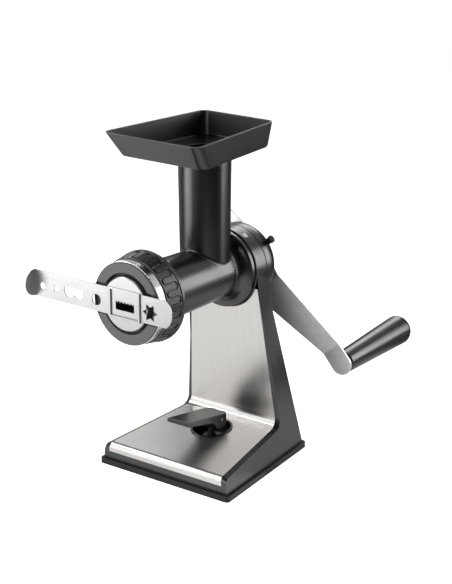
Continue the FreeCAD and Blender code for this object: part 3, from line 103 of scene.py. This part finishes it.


# %% [markdown]
# Some effects show on many finishes: the fine grain of a moulded skin, the hair lines of
# brushed metal, rounded edges with a pale line on them, which on the plastics is a painted
# highlight, a little dust where a surface looks up, and grooves that light hardly gets into,
# which get painted shade. Each is a node group of its own, with inputs for its scale, so that a
# material is a short list of effects. Most of a noise's values lie between the two bounds below.

# %% A helper for node groups
def new_group(name, inputs, outputs):
    """An empty shader group, with its input values and the places for its outputs."""
    tree = bpy.data.node_groups.new(name, "ShaderNodeTree")
    for label, kind, value in inputs:
        socket = tree.interface.new_socket(name=label, in_out="INPUT", socket_type=kind)
        socket.default_value = value
    for label, kind in outputs:
        tree.interface.new_socket(name=label, in_out="OUTPUT", socket_type=kind)
    enter = tree.nodes.new("NodeGroupInput").outputs
    leave = tree.nodes.new("NodeGroupOutput").inputs
    return tree, enter, leave


FLOAT = "NodeSocketFloat"
VECTOR = "NodeSocketVector"
NOISE_LOW, NOISE_HIGH = 0.3, 0.7


# %% [markdown]
# A moulded skin isn't smooth: the tool was spark eroded or etched, and the plastic copies its
# grain of a few tenths of a millimetre. A second, slower noise stands for uneven gloss from
# cooling and hands.

# %% Group: fine grain
def make_fine_grain():
    tree, enter, leave = new_group(
        "fine_grain", [("Grains per metre", FLOAT, 2500.0), ("Clouds per metre", FLOAT, 30.0)],
        [("Height", FLOAT), ("Clouds", FLOAT)])
    place = tree.nodes.new("ShaderNodeTexCoord").outputs["Object"]
    grain = put(tree, "ShaderNodeTexNoise", Vector=place, Scale=enter["Grains per metre"],
                Detail=2.0, Roughness=0.5)
    clouds = put(tree, "ShaderNodeTexNoise", Vector=place, Scale=enter["Clouds per metre"],
                 Detail=4.0, Roughness=0.6)
    tree.links.new(grain.outputs["Fac"], leave["Height"])
    tree.links.new(clouds.outputs["Fac"], leave["Clouds"])
    return tree


fine_grain = make_fine_grain()
print("group", fine_grain.name)


# %% [markdown]
# Brushed steel carries long hair lines, all one way. Noise that is squeezed across the lines
# and drawn out along them gives that look: the input tells how many lines there are per metre
# along X, Y and Z, few in the direction of the brush and many across it.

# %% Group: brushed lines
STREAKS_PER_HAIR = 0.16


def make_brushed_lines():
    tree, enter, leave = new_group(
        "brushed_lines", [("Lines per metre", VECTOR, (2600.0, 12.0, 12.0))],
        [("Height", FLOAT), ("Streaks", FLOAT)])
    place = tree.nodes.new("ShaderNodeTexCoord").outputs["Object"]
    stretched = put(tree, "ShaderNodeVectorMath", {"operation": "MULTIPLY"})
    tree.links.new(place, stretched.inputs[0])
    tree.links.new(enter["Lines per metre"], stretched.inputs[1])
    hairs = put(tree, "ShaderNodeTexNoise", Vector=stretched.outputs[0], Scale=1.0, Detail=3.0,
                Roughness=0.65)
    streaks = put(tree, "ShaderNodeTexNoise", Vector=stretched.outputs[0], Scale=STREAKS_PER_HAIR,
                  Detail=2.0, Roughness=0.5)
    tree.links.new(hairs.outputs["Fac"], leave["Height"])
    tree.links.new(streaks.outputs["Fac"], leave["Streaks"])
    return tree


brushed_lines = make_brushed_lines()
print("group", brushed_lines.name)


# %% [markdown]
# No real edge is sharp. The Bevel node finds edges while the picture is made, and bends the
# shading normal round them, which catches the thin line of light that a real edge shows. Where
# the bent and the plain normal differ, there is an edge, so the same node also gives an edge
# mask: the plastics paint a pale line of highlight along it, and the metals a brighter rubbed
# edge.

# %% Group: edge wear and painted highlight
BENT_AWAY, STILL_FLAT = 0.82, 0.995


def make_edge_wear_and_highlight():
    tree, enter, leave = new_group(
        "edge_wear_and_highlight", [("Edge width", FLOAT, 0.0004)], [("Edge", FLOAT), ("Normal", VECTOR)])
    rounded = put(tree, "ShaderNodeBevel", {"samples": 4}, Radius=enter["Edge width"])
    plain = tree.nodes.new("ShaderNodeNewGeometry").outputs["Normal"]
    agree = put(tree, "ShaderNodeVectorMath", {"operation": "DOT_PRODUCT"})
    tree.links.new(rounded.outputs["Normal"], agree.inputs[0])
    tree.links.new(plain, agree.inputs[1])
    edge = spread(tree, agree.outputs["Value"], 1.0, 0.0, BENT_AWAY, STILL_FLAT)
    tree.links.new(edge, leave["Edge"])
    tree.links.new(rounded.outputs["Normal"], leave["Normal"])
    return tree


edge_wear_and_highlight = make_edge_wear_and_highlight()
print("group", edge_wear_and_highlight.name)


# %% [markdown]
# Dust settles on what looks up, and unevenly. The mask below is the upward part of the normal
# times a slow noise. It stays faint: the grinder is clean, and the veil only takes the last
# depth of black.

# %% Group: dust veil
DUST_FROM_SLOPE = 0.35
DUST_PATCHES_PER_METRE = 55.0
THIN_DUST, FULL_DUST = 0.3, 0.75


def make_dust_veil():
    tree, enter, leave = new_group("dust_veil", [("Amount", FLOAT, 0.1)], [("Dust", FLOAT)])
    coordinates = tree.nodes.new("ShaderNodeTexCoord")
    upward = put(tree, "ShaderNodeSeparateXYZ", Vector=coordinates.outputs["Normal"]).outputs["Z"]
    faces_up = spread(tree, upward, 0.0, 1.0, DUST_FROM_SLOPE, 1.0)
    patches = put(tree, "ShaderNodeTexNoise", Vector=coordinates.outputs["Object"],
                  Scale=DUST_PATCHES_PER_METRE, Detail=6.0, Roughness=0.7)
    uneven = spread(tree, patches.outputs["Fac"], 0.2, 1.0, THIN_DUST, FULL_DUST)
    veil = calc(tree, "MULTIPLY", calc(tree, "MULTIPLY", faces_up, uneven), enter["Amount"])
    tree.links.new(veil, leave["Dust"])
    return tree


dust_veil = make_dust_veil()
print("group", dust_veil.name)


# %% [markdown]
# Light hardly gets into grooves and seams, so the plastics paint shade into them, and their
# floors keep the mould's dull skin, because no cloth reaches them. The Ambient Occlusion node
# tells how closed in a point is; the group turns that into a mask, one in a crease and nought on
# open skin, which the plastics use for painted shade and a duller gloss.

# %% Group: creases, for painted shade
CLOSED_IN, IN_THE_OPEN = 0.30, 0.85


def make_creases():
    tree, enter, leave = new_group("creases", [("Reach", FLOAT, 0.0025)], [("Crease", FLOAT)])
    openness = put(tree, "ShaderNodeAmbientOcclusion", {"samples": 6}, Distance=enter["Reach"])
    crease = spread(tree, openness.outputs["AO"], 1.0, 0.0, CLOSED_IN, IN_THE_OPEN)
    tree.links.new(crease, leave["Crease"])
    return tree


creases = make_creases()
print("group", creases.name)


# %% [markdown]
# Now the finishes. All moulded pieces share one recipe, because on the real grinder they come
# from the same kind of tool: a dark base colour, gloss that clouds slightly, grain as a small
# bump, a pale line of painted highlight on the edges, painted shade in the creases and the veil
# of dust. What differs is written in each material's own function.

# %% A recipe for moulded plastic
def use(tree, group, **inputs):
    """Places a group in a material."""
    node = tree.nodes.new("ShaderNodeGroup")
    node.node_tree = group
    for key, value in inputs.items():
        node.inputs[key.replace("_", " ")].default_value = value
    return node.outputs


def new_material(name):
    """A material with only its shader, and that shader's tree."""
    material = bpy.data.materials.new(name)
    material.use_nodes = True
    tree = material.node_tree
    shader = tree.nodes["Principled BSDF"]
    return material, tree, shader


PLASTIC_BLACK = (0.005, 0.005, 0.0052)
PAINTED_CREASE_SHADE = (0.0015, 0.0015, 0.0015, 1.0)
CREASE_ROUGHNESS = 0.45
DUST_COLOUR = (0.20, 0.19, 0.18, 1.0)
GLOSS_CLOUDS_PER_METRE = 24.0


def moulded(name, colour, roughness, grains=2500.0, grain_depth=0.00002, edge_width=0.0004,
            edge_highlight=0.03, dust=0.03, shine=0.5, reach=0.0025):
    """Moulded plastic. roughness is (glossy clouds, matt clouds), grain_depth is in metres."""
    material, tree, shader = new_material(name)
    grain = use(tree, fine_grain, Grains_per_metre=grains,
                Clouds_per_metre=GLOSS_CLOUDS_PER_METRE)
    edges = use(tree, edge_wear_and_highlight, Edge_width=edge_width)
    veil = use(tree, dust_veil, Amount=dust)
    base = (*colour, 1.0)
    # Painted highlight: the edges get a paler colour, the thin line of light that an edge catches.
    worn_and_lit = (*(channel + edge_highlight for channel in colour), 1.0)
    edge_lit = blend_colours(tree, edges["Edge"], base, worn_and_lit)
    dusty = blend_colours(tree, veil["Dust"], edge_lit, DUST_COLOUR)
    crease = use(tree, creases, Reach=reach)["Crease"]
    # Painted shade: grooves, seams and recesses are blended towards near black.
    shaded = blend_colours(tree, crease, dusty, PAINTED_CREASE_SHADE)
    gloss = spread(tree, grain["Clouds"], *roughness, NOISE_LOW, NOISE_HIGH)
    dull = calc(tree, "ADD", gloss, spread(tree, crease, 0.0, CREASE_ROUGHNESS))
    bump = put(tree, "ShaderNodeBump", Distance=grain_depth, Strength=1.0, Height=grain["Height"],
               Normal=edges["Normal"])
    tree.links.new(shaded, shader.inputs["Base Color"])
    tree.links.new(dull, shader.inputs["Roughness"])
    tree.links.new(bump.outputs["Normal"], shader.inputs["Normal"])
    shader.inputs["Specular IOR Level"].default_value = shine
    return material, tree, shader


# %% [markdown]
# The casing, the stand and the small knobs are one satin black plastic. It is nearly black in
# itself, and what the eye reads as grey on it is the studio's light on a half matt skin.

# %% Satin black plastic
def satin_black_plastic():
    return moulded("satin_black_plastic", PLASTIC_BLACK, (0.26, 0.32), edge_width=0.0005,
                   shine=0.8)[0]


# %% [markdown]
# The tray and the suction lever are the same plastic from a rougher mould. Their flat walls
# show no clear highlight, only a soft fall from grey at the rim to black; the pale line along
# the rim and the other edges is a painted highlight.

# %% Matt black plastic
def matt_black_plastic():
    return moulded("matt_black_plastic", PLASTIC_BLACK, (0.32, 0.38), edge_width=0.0008,
                   edge_highlight=0.20, shine=0.6)[0]


# %% [markdown]
# The ring nut's plastic is a little paler than the casing's. Its edges get a pale line of
# painted highlight, and the winding groove between its raised pads gets painted shade and stays
# black.

# %% Nut plastic
def nut_plastic():
    return moulded("nut_plastic", (0.022, 0.022, 0.0225), (0.27, 0.33), edge_width=0.0006,
                   edge_highlight=0.30, shine=0.8, reach=0.003)[0]


# %% [markdown]
# The grip is as glossy as the casing and cleaner, because a hand wipes it: long stripes of
# light run along it.

# %% Grip plastic
def grip_plastic():
    return moulded("grip_plastic", PLASTIC_BLACK, (0.28, 0.33), dust=0.02, shine=0.8)[0]


# %% [markdown]
# The disc holder is a matt mid grey plastic, with a pale line of painted highlight on its edges.

# %% Grey plastic
def grey_plastic():
    return moulded("grey_plastic", (0.105, 0.108, 0.112), (0.48, 0.58), edge_highlight=0.08)[0]


# %% [markdown]
# Rubber scatters light: high roughness and a faint sheen give the foot and the seal their soft
# look.

# %% Rubber
def foot_rubber():
    material, _, shader = moulded("foot_rubber", PLASTIC_BLACK, (0.50, 0.62), grains=1600.0,
                                  grain_depth=0.00003, shine=0.35)
    shader.inputs["Sheen Weight"].default_value = 0.02
    shader.inputs["Sheen Roughness"].default_value = 0.5
    return material


# %% [markdown]
# The bush behind the drum is a pale bearing plastic, waxy and unpainted.

# %% Pale bush
def bush_plastic():
    material, _, shader = moulded("bush_plastic", (0.72, 0.70, 0.65), (0.35, 0.45),
                                  edge_highlight=0.04, dust=0.02)
    shader.inputs["Subsurface Weight"].default_value = 0.1
    return material


# %% [markdown]
# The metals share a recipe too. Brushed ones get hair lines along the way the belt ran, and the
# sheet also spreads light across those lines, which is what anisotropy does. Polished ones get
# short faint scratches.

# %% A recipe for metal
METAL_GRAINS_PER_METRE, METAL_CLOUDS_PER_METRE = 900.0, 14.0
STREAKS_LOW, STREAKS_HIGH = 0.35, 0.65
CLEARER, DULLER = -0.02, 0.03
RUBBED_BRIGHTER = 1.12


def metal(name, colour, roughness, lines, line_depth=0.000004, streak=0.12, edge_width=0.0003):
    """Bare metal. lines is the number of hair lines per metre along X, Y and Z."""
    material, tree, shader = new_material(name)
    brushed = use(tree, brushed_lines, Lines_per_metre=lines)
    grain = use(tree, fine_grain, Grains_per_metre=METAL_GRAINS_PER_METRE,
                Clouds_per_metre=METAL_CLOUDS_PER_METRE)
    edges = use(tree, edge_wear_and_highlight, Edge_width=edge_width)
    base = (*colour, 1.0)
    dull = (*(channel * (1.0 - streak) for channel in colour), 1.0)
    bright = (*(min(1.0, channel * RUBBED_BRIGHTER) for channel in colour), 1.0)
    streaks = spread(tree, brushed["Streaks"], 0.0, 1.0, STREAKS_LOW, STREAKS_HIGH)
    streaked = blend_colours(tree, streaks, dull, base)
    worn_and_lit = blend_colours(tree, edges["Edge"], streaked, bright)
    matt = spread(tree, brushed["Height"], *roughness, NOISE_LOW, NOISE_HIGH)
    clouds = spread(tree, grain["Clouds"], CLEARER, DULLER, NOISE_LOW, NOISE_HIGH)
    cloudy = calc(tree, "ADD", matt, clouds)
    bump = put(tree, "ShaderNodeBump", Distance=line_depth, Strength=1.0, Height=brushed["Height"],
               Normal=edges["Normal"])
    tree.links.new(worn_and_lit, shader.inputs["Base Color"])
    tree.links.new(cloudy, shader.inputs["Roughness"])
    tree.links.new(bump.outputs["Normal"], shader.inputs["Normal"])
    shader.inputs["Metallic"].default_value = 1.0
    return material, tree, shader


# %% [markdown]
# The sheet that lines the stand was brushed up and down before it was bent, so its hair lines
# follow it from the head to the nose. Light smears sideways across them.

# %% Brushed sheet
def brushed_sheet():
    material, tree, shader = metal("brushed_sheet", (0.60, 0.585, 0.57), (0.27, 0.32),
                                   (3200.0, 9.0, 9.0), line_depth=0.0000003, streak=0.04)
    tangent = put(tree, "ShaderNodeTangent", {"direction_type": "RADIAL", "axis": "X"})
    tree.links.new(tangent.outputs[0], shader.inputs["Tangent"])
    shader.inputs["Anisotropic"].default_value = 0.55
    shader.inputs["Anisotropic Rotation"].default_value = 0.25
    return material


# %% [markdown]
# The crank arm is paler and rougher than the sheet, with a short grain: it takes the light
# evenly and shows no sharp reflection.

# %% Brushed arm
def brushed_arm():
    return metal("brushed_arm", (0.86, 0.84, 0.82), (0.44, 0.52), (900.0, 60.0, 900.0),
                 streak=0.08)[0]


# %% [markdown]
# The band in the nut is polished, so its scratches are shallow and its worn edge is very
# narrow. The disc and the shape strip are a satin sheet, darker in itself, because the light
# that falls on them would otherwise turn them white. Shafts and pins are plain turned steel.

# %% Polished, satin and plain steel
ALONG_THE_STRIP = (160.0, 900.0, 900.0)


def bright_steel():
    return metal("bright_steel", (0.62, 0.62, 0.615), (0.18, 0.24), ALONG_THE_STRIP,
                 line_depth=0.0000002, streak=0.04, edge_width=0.00008)[0]


def satin_steel():
    return metal("satin_steel", (0.432, 0.432, 0.427), (0.33, 0.40), ALONG_THE_STRIP,
                 line_depth=0.0000006, streak=0.04)[0]


def plain_steel():
    return metal("plain_steel", (0.50, 0.50, 0.49), (0.28, 0.38), (500.0, 500.0, 500.0))[0]


# %% [markdown]
# The feed screw is cast aluminium, tumbled until it is satin.

# %% Cast aluminium
def cast_aluminium():
    return metal("cast_aluminium", (0.62, 0.63, 0.64), (0.36, 0.48), (350.0, 350.0, 350.0),
                 line_depth=0.00003)[0]


# %% [markdown]
# The record says which finish slot each piece belongs to. Five pieces look different from the
# rest of their slot and have a finish of their own. One loop gives every piece its material, so
# a piece can't be forgotten.

# %% Dress every piece
finishes = {
    "black_plastic": satin_black_plastic(),
    "black_grip": grip_plastic(),
    "grey_plastic": grey_plastic(),
    "black_rubber": foot_rubber(),
    "pale_bush": bush_plastic(),
    "brushed_sheet": brushed_sheet(),
    "brushed_arm": brushed_arm(),
    "bright_steel": bright_steel(),
    "plain_steel": plain_steel(),
    "cast_screw": cast_aluminium(),
}
slot_of = {part["node"]: part["material_slot"] for part in record["subparts"]}
satin, matt = satin_steel(), matt_black_plastic()
own_finish = {"feed_tray": matt, "suction_lever": matt, "ring_nut": nut_plastic(),
              "attachment_disc": satin, "shape_strip": satin}
for name, piece in nodes.items():
    piece.data.materials.clear()
    piece.data.materials.append(own_finish.get(name, finishes[slot_of[name]]))
used = {piece.data.materials[0].name for piece in nodes.values()}
print("dressed", len(nodes), "pieces in", len(used), "finishes")


# %% [markdown]
# A small pale mark is printed on the top of the drum: a closed padlock, which says which way
# the lock pin holds. It is a plain sign without any name. Ink has next to no thickness, so the
# mark is a thin skin that is laid on the drum: each of its points is dropped onto the surface
# along a ray. The ray is short, so that one which misses the drum's skin doesn't land on its
# far side.

# %% The padlock mark
MARK_ANGLE = math.radians(30.6)
MARK_Y = 0.0264
MARK_SIZE = 0.0066
INK_THICKNESS = 0.00012
AXIS_HEIGHT = 0.1933
DRUM_RADIUS = 0.0394
RAY_START = 0.045
RAY_LENGTH = 0.012
BODY_HALF_WIDTH, BODY_BOTTOM, BODY_TOP = 0.42, -0.5, 0.12
SHACKLE_OUTER, SHACKLE_INNER = (0.32, 0.38), (0.18, 0.24)
SHACKLE_STEPS = 10

drum = BVHTree.FromObject(nodes["stand_core"], bpy.context.evaluated_depsgraph_get())
frame_drum = BVHTree.FromObject(nodes["stand_frame"], bpy.context.evaluated_depsgraph_get())


def on_drum(across, along):
    """The point of the drum's skin at a distance round the drum and along it, towards +Y."""
    angle = MARK_ANGLE + across / DRUM_RADIUS
    outward = Vector((math.sin(angle), 0.0, math.cos(angle)))
    start = Vector((0.0, MARK_Y + along, AXIS_HEIGHT)) + outward * RAY_START
    hits = [tree.ray_cast(start, -outward, RAY_LENGTH)[0] for tree in (drum, frame_drum)]
    height = max((hit - Vector((0.0, hit.y, AXIS_HEIGHT))).length for hit in hits if hit)
    return Vector((0.0, MARK_Y + along, AXIS_HEIGHT)) + outward * (height + INK_THICKNESS)


def shackle_arc(radii, steps):
    """Points of a half ellipse that stands on the padlock's body."""
    across, up = radii
    return [(across * math.cos(math.pi * i / SHACKLE_STEPS),
             BODY_TOP + up * math.sin(math.pi * i / SHACKLE_STEPS)) for i in steps]


def padlock_rings():
    """The mark's outlines, in parts of its size: the body and the shackle."""
    body = [(-BODY_HALF_WIDTH, BODY_BOTTOM), (BODY_HALF_WIDTH, BODY_BOTTOM),
            (BODY_HALF_WIDTH, BODY_TOP), (-BODY_HALF_WIDTH, BODY_TOP)]
    outer = shackle_arc(SHACKLE_OUTER, range(SHACKLE_STEPS + 1))
    inner = shackle_arc(SHACKLE_INNER, range(SHACKLE_STEPS, -1, -1))
    return [body, outer + inner]


def make_padlock_mark():
    mesh = bmesh.new()
    for ring in padlock_rings():
        corners = [mesh.verts.new(on_drum(x * MARK_SIZE, -y * MARK_SIZE)) for x, y in ring]
        mesh.faces.new(corners)
    bmesh.ops.triangulate(mesh, faces=mesh.faces[:])
    data = bpy.data.meshes.new("padlock_mark")
    mesh.to_mesh(data)
    mesh.free()
    mark = bpy.data.objects.new("padlock_mark", data)
    bpy.context.scene.collection.objects.link(mark)
    return mark


mark = make_padlock_mark()
mark.data.materials.append(moulded("printed_ink", (0.9, 0.9, 0.9), (0.45, 0.55), dust=0.0)[0])
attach(mark, "stand")
print("mark at", [round(value, 4) for value in mark.data.vertices[0].co])


# %% [markdown]
# The floor is a very wide pale sheet. From the photo's height no horizon shows; at 10 degrees
# above the table a narrow dark band is left at the top of the picture. The camera sees the
# sheet glow almost white, while the grinder gets little light back from it: the Light Path node
# tells the two apart, so that the highlights come from the panels and cards below.

# %% Floor
FLOOR_SIZE = 120.0
FLOOR_BOUNCE = (0.12, 0.12, 0.12)
FLOOR_GLOW = 0.97
PAPER_DARK, PAPER_LIGHT = 0.90, 0.93


def make_floor():
    bpy.ops.mesh.primitive_plane_add(size=FLOOR_SIZE)
    floor = bpy.context.object
    floor.name = "studio_floor"
    material, tree, shader = new_material("studio_paper")
    speckle = put(tree, "ShaderNodeTexNoise", Scale=900.0, Detail=2.0)
    shade = spread(tree, speckle.outputs["Fac"], PAPER_DARK, PAPER_LIGHT, NOISE_LOW, NOISE_HIGH)
    tone = put(tree, "ShaderNodeCombineColor", Red=shade, Green=shade, Blue=shade)
    seen = tree.nodes.new("ShaderNodeLightPath").outputs["Is Camera Ray"]
    paper = blend_colours(tree, seen, (*FLOOR_BOUNCE, 1.0), tone.outputs[0])
    glow = spread(tree, seen, 0.0, FLOOR_GLOW)
    tree.links.new(paper, shader.inputs["Base Color"])
    tree.links.new(glow, shader.inputs["Emission Strength"])
    shader.inputs["Emission Color"].default_value = (1.0, 1.0, 1.0, 1.0)
    shader.inputs["Roughness"].default_value = 0.8
    floor.data.materials.append(material)
    return floor


floor = make_floor()
print("floor", floor.dimensions[:])


# %% [markdown]
# Black plastic shows almost nothing of itself: what the eye reads is the reflection of the
# studio. So the light here is built as a set of soft panels in a dark room, each placed where
# one highlight of the tube, the barrel, the drum or the steel looks back to. A panel is told
# how bright it looks, its glow, and its power follows from its size: four times the glow times
# the area.

# %% Soft panels
GRINDER_MIDDLE = Vector((0.0, 0.0, 0.17))
POWER_PER_GLOW = 4.0
STAND_DISTANCE = 0.85
STAND_TOP = 0.9
HANGING_DISTANCE = 1.3


def direction_of(azimuth, elevation):
    """A unit vector. Azimuth 0 is the outlet's side, 90 the right side."""
    turn, rise = math.radians(azimuth), math.radians(elevation)
    return Vector((math.sin(turn) * math.cos(rise), -math.cos(turn) * math.cos(rise),
                   math.sin(rise)))


def panel(name, middle, facing, size, glow):
    """A soft light of a given width and height that faces along a direction."""
    light = bpy.data.lights.new(name, "AREA")
    light.shape = "RECTANGLE"
    light.size, light.size_y = size
    light.energy = POWER_PER_GLOW * glow * size[0] * size[1]
    lamp = bpy.data.objects.new(name, light)
    lamp.location = middle
    lamp.rotation_euler = (-facing).to_track_quat("Z", "Y").to_euler()
    lamp.visible_camera = False
    bpy.context.scene.collection.objects.link(lamp)
    return lamp


def standing(name, azimuth, width, glow, low=0.0, high=STAND_TOP):
    """An upright panel from a lower to an upper height, that looks at the grinder."""
    out = direction_of(azimuth, 0.0)
    middle = out * STAND_DISTANCE + Vector((0.0, 0.0, (low + high) / 2.0))
    return panel(name, middle, -out, (width, high - low), glow)


def hanging(name, azimuth, elevation, size, glow):
    """A panel that hangs in the room and looks at the grinder."""
    out = direction_of(azimuth, elevation)
    return panel(name, GRINDER_MIDDLE + out * HANGING_DISTANCE, -out, size, glow)


# %% [markdown]
# The standing panels make the upright highlights. The front one lights the crank arm, the left
# one the bend of the sheet, the one at the back right the thin stripe at the tube's edge, and
# the barrel panel the long stripe on the side of the barrel and the bell.

# %% Standing panels
standing("front_panel", -8.0, 0.5, 2.2, low=0.2)
standing("left_panel", -38.0, 0.4, 1.4, low=0.05)
standing("side_panel", -95.0, 0.2, 0.6)
standing("back_left_panel", -125.0, 0.2, 0.6)
standing("rear_panel", -160.0, 0.2, 0.5)
standing("back_right_panel", 122.0, 0.16, 3.6)
standing("barrel_panel", 140.0, 0.22, 5.6, low=0.12, high=0.6)

# %% [markdown]
# The hanging panels light what looks up: the top of the barrel, the drum, the sheet's bend and
# nose.

# %% Hanging panels
hanging("bend_panel", -68.0, 42.0, (0.6, 0.4), 4.0)
hanging("slope_panel", -130.0, 27.0, (0.8, 0.5), 0.42)
hanging("drum_panel", -160.0, 30.0, (0.5, 0.3), 4.5)
hanging("nose_panel", -20.0, 45.0, (0.5, 0.3), 2.4)
hanging("right_top_panel", 125.0, 42.0, (0.5, 0.3), 0.8)
hanging("band_panel", 165.0, 50.0, (1.2, 0.8), 0.5)

# %% [markdown]
# Upright surfaces, seen from a little above, mirror the table round the grinder. Cards of light
# that lie on it, brightest in front, give the steel its pale face and lift the underside of the
# barrel.

# %% Cards on the table
CARD_HEIGHT = 0.0006


def card(name, low, high, glow):
    """A card that lies on the table between two corners and glows upwards."""
    middle = Vector(((low[0] + high[0]) / 2.0, (low[1] + high[1]) / 2.0, CARD_HEIGHT))
    size = (high[0] - low[0], high[1] - low[1])
    return panel(name, middle, Vector((0.0, 0.0, 1.0)), size, glow)


card("front_left_card", (-0.55, -0.55), (0.0, 0.0), 0.78)
card("front_right_card", (0.0, -0.5), (0.5, 0.0), 0.9)
card("back_right_card", (0.0, 0.0), (0.3, 0.3), 0.45)
card("back_left_card", (-0.4, 0.0), (0.0, 0.4), 0.35)

# %% [markdown]
# The broad stripe on the feed tube mirrors a spot on the table well out to the left. A low
# panel lies there, tipped a little towards the grinder.

# %% The low panel
LOW_DISTANCE = 0.97
LOW_HEIGHT = 0.03
LOW_TIP = 0.12


def low_panel(name, azimuth, size, glow):
    """A panel that lies low beside the grinder and is tipped towards it."""
    out = direction_of(azimuth, 0.0)
    facing = (Vector((0.0, 0.0, 1.0)) - out * LOW_TIP).normalized()
    middle = out * LOW_DISTANCE + Vector((0.0, 0.0, LOW_HEIGHT))
    return panel(name, middle, facing, size, glow)


low_panel("tube_panel", -40.0, (0.62, 0.34), 4.8)


# %% [markdown]
# Everything that isn't a panel, a card or the floor is a nearly dark room, with a trace of even
# light.

# %% The dark room
ROOM_COLOUR = (0.98, 0.99, 1.0, 1.0)
ROOM_STRENGTH = 0.03


def make_world():
    world = bpy.data.worlds.new("dark_room")
    bpy.context.scene.world = world
    world.use_nodes = True
    background = world.node_tree.nodes["Background"]
    background.inputs["Color"].default_value = ROOM_COLOUR
    background.inputs["Strength"].default_value = ROOM_STRENGTH


make_world()

# %% [markdown]
# The camera looks from the front right and a little from above, from well back, as a portrait
# lens does. Where it stands follows from its direction, its distance and the point in the
# picture's middle.

# %% Camera
PICTURE_HEIGHT = 584
CAMERA_AZIMUTH = math.radians(37.53)
CAMERA_ELEVATION = math.radians(17.91)
CAMERA_DISTANCE = 1.6773
FOCAL_LENGTH_IN_PIXELS = 1733.7
SENSOR_WIDTH = 36.0
AIM_TO_THE_RIGHT = 0.01424
AIM_HEIGHT = 0.17268


def make_camera():
    level = math.cos(CAMERA_ELEVATION)
    back = Vector((math.sin(CAMERA_AZIMUTH) * level, -math.cos(CAMERA_AZIMUTH) * level,
                   math.sin(CAMERA_ELEVATION)))
    right = Vector((math.cos(CAMERA_AZIMUTH), math.sin(CAMERA_AZIMUTH), 0.0))
    up = back.cross(right)
    aim = right * AIM_TO_THE_RIGHT + Vector((0.0, 0.0, AIM_HEIGHT))
    lens = bpy.data.cameras.new("camera")
    lens.sensor_width = SENSOR_WIDTH
    lens.sensor_fit = "AUTO"
    lens.lens = FOCAL_LENGTH_IN_PIXELS / PICTURE_HEIGHT * SENSOR_WIDTH
    camera = bpy.data.objects.new("camera", lens)
    camera.matrix_world = Matrix.Translation(aim + back * CAMERA_DISTANCE) @ Matrix(
        (right, up, back)).transposed().to_4x4()
    bpy.context.scene.collection.objects.link(camera)
    bpy.context.scene.camera = camera
    return camera


camera = make_camera()
bpy.context.scene.view_settings.view_transform = "Standard"
print("camera at", [round(value, 3) for value in camera.location])
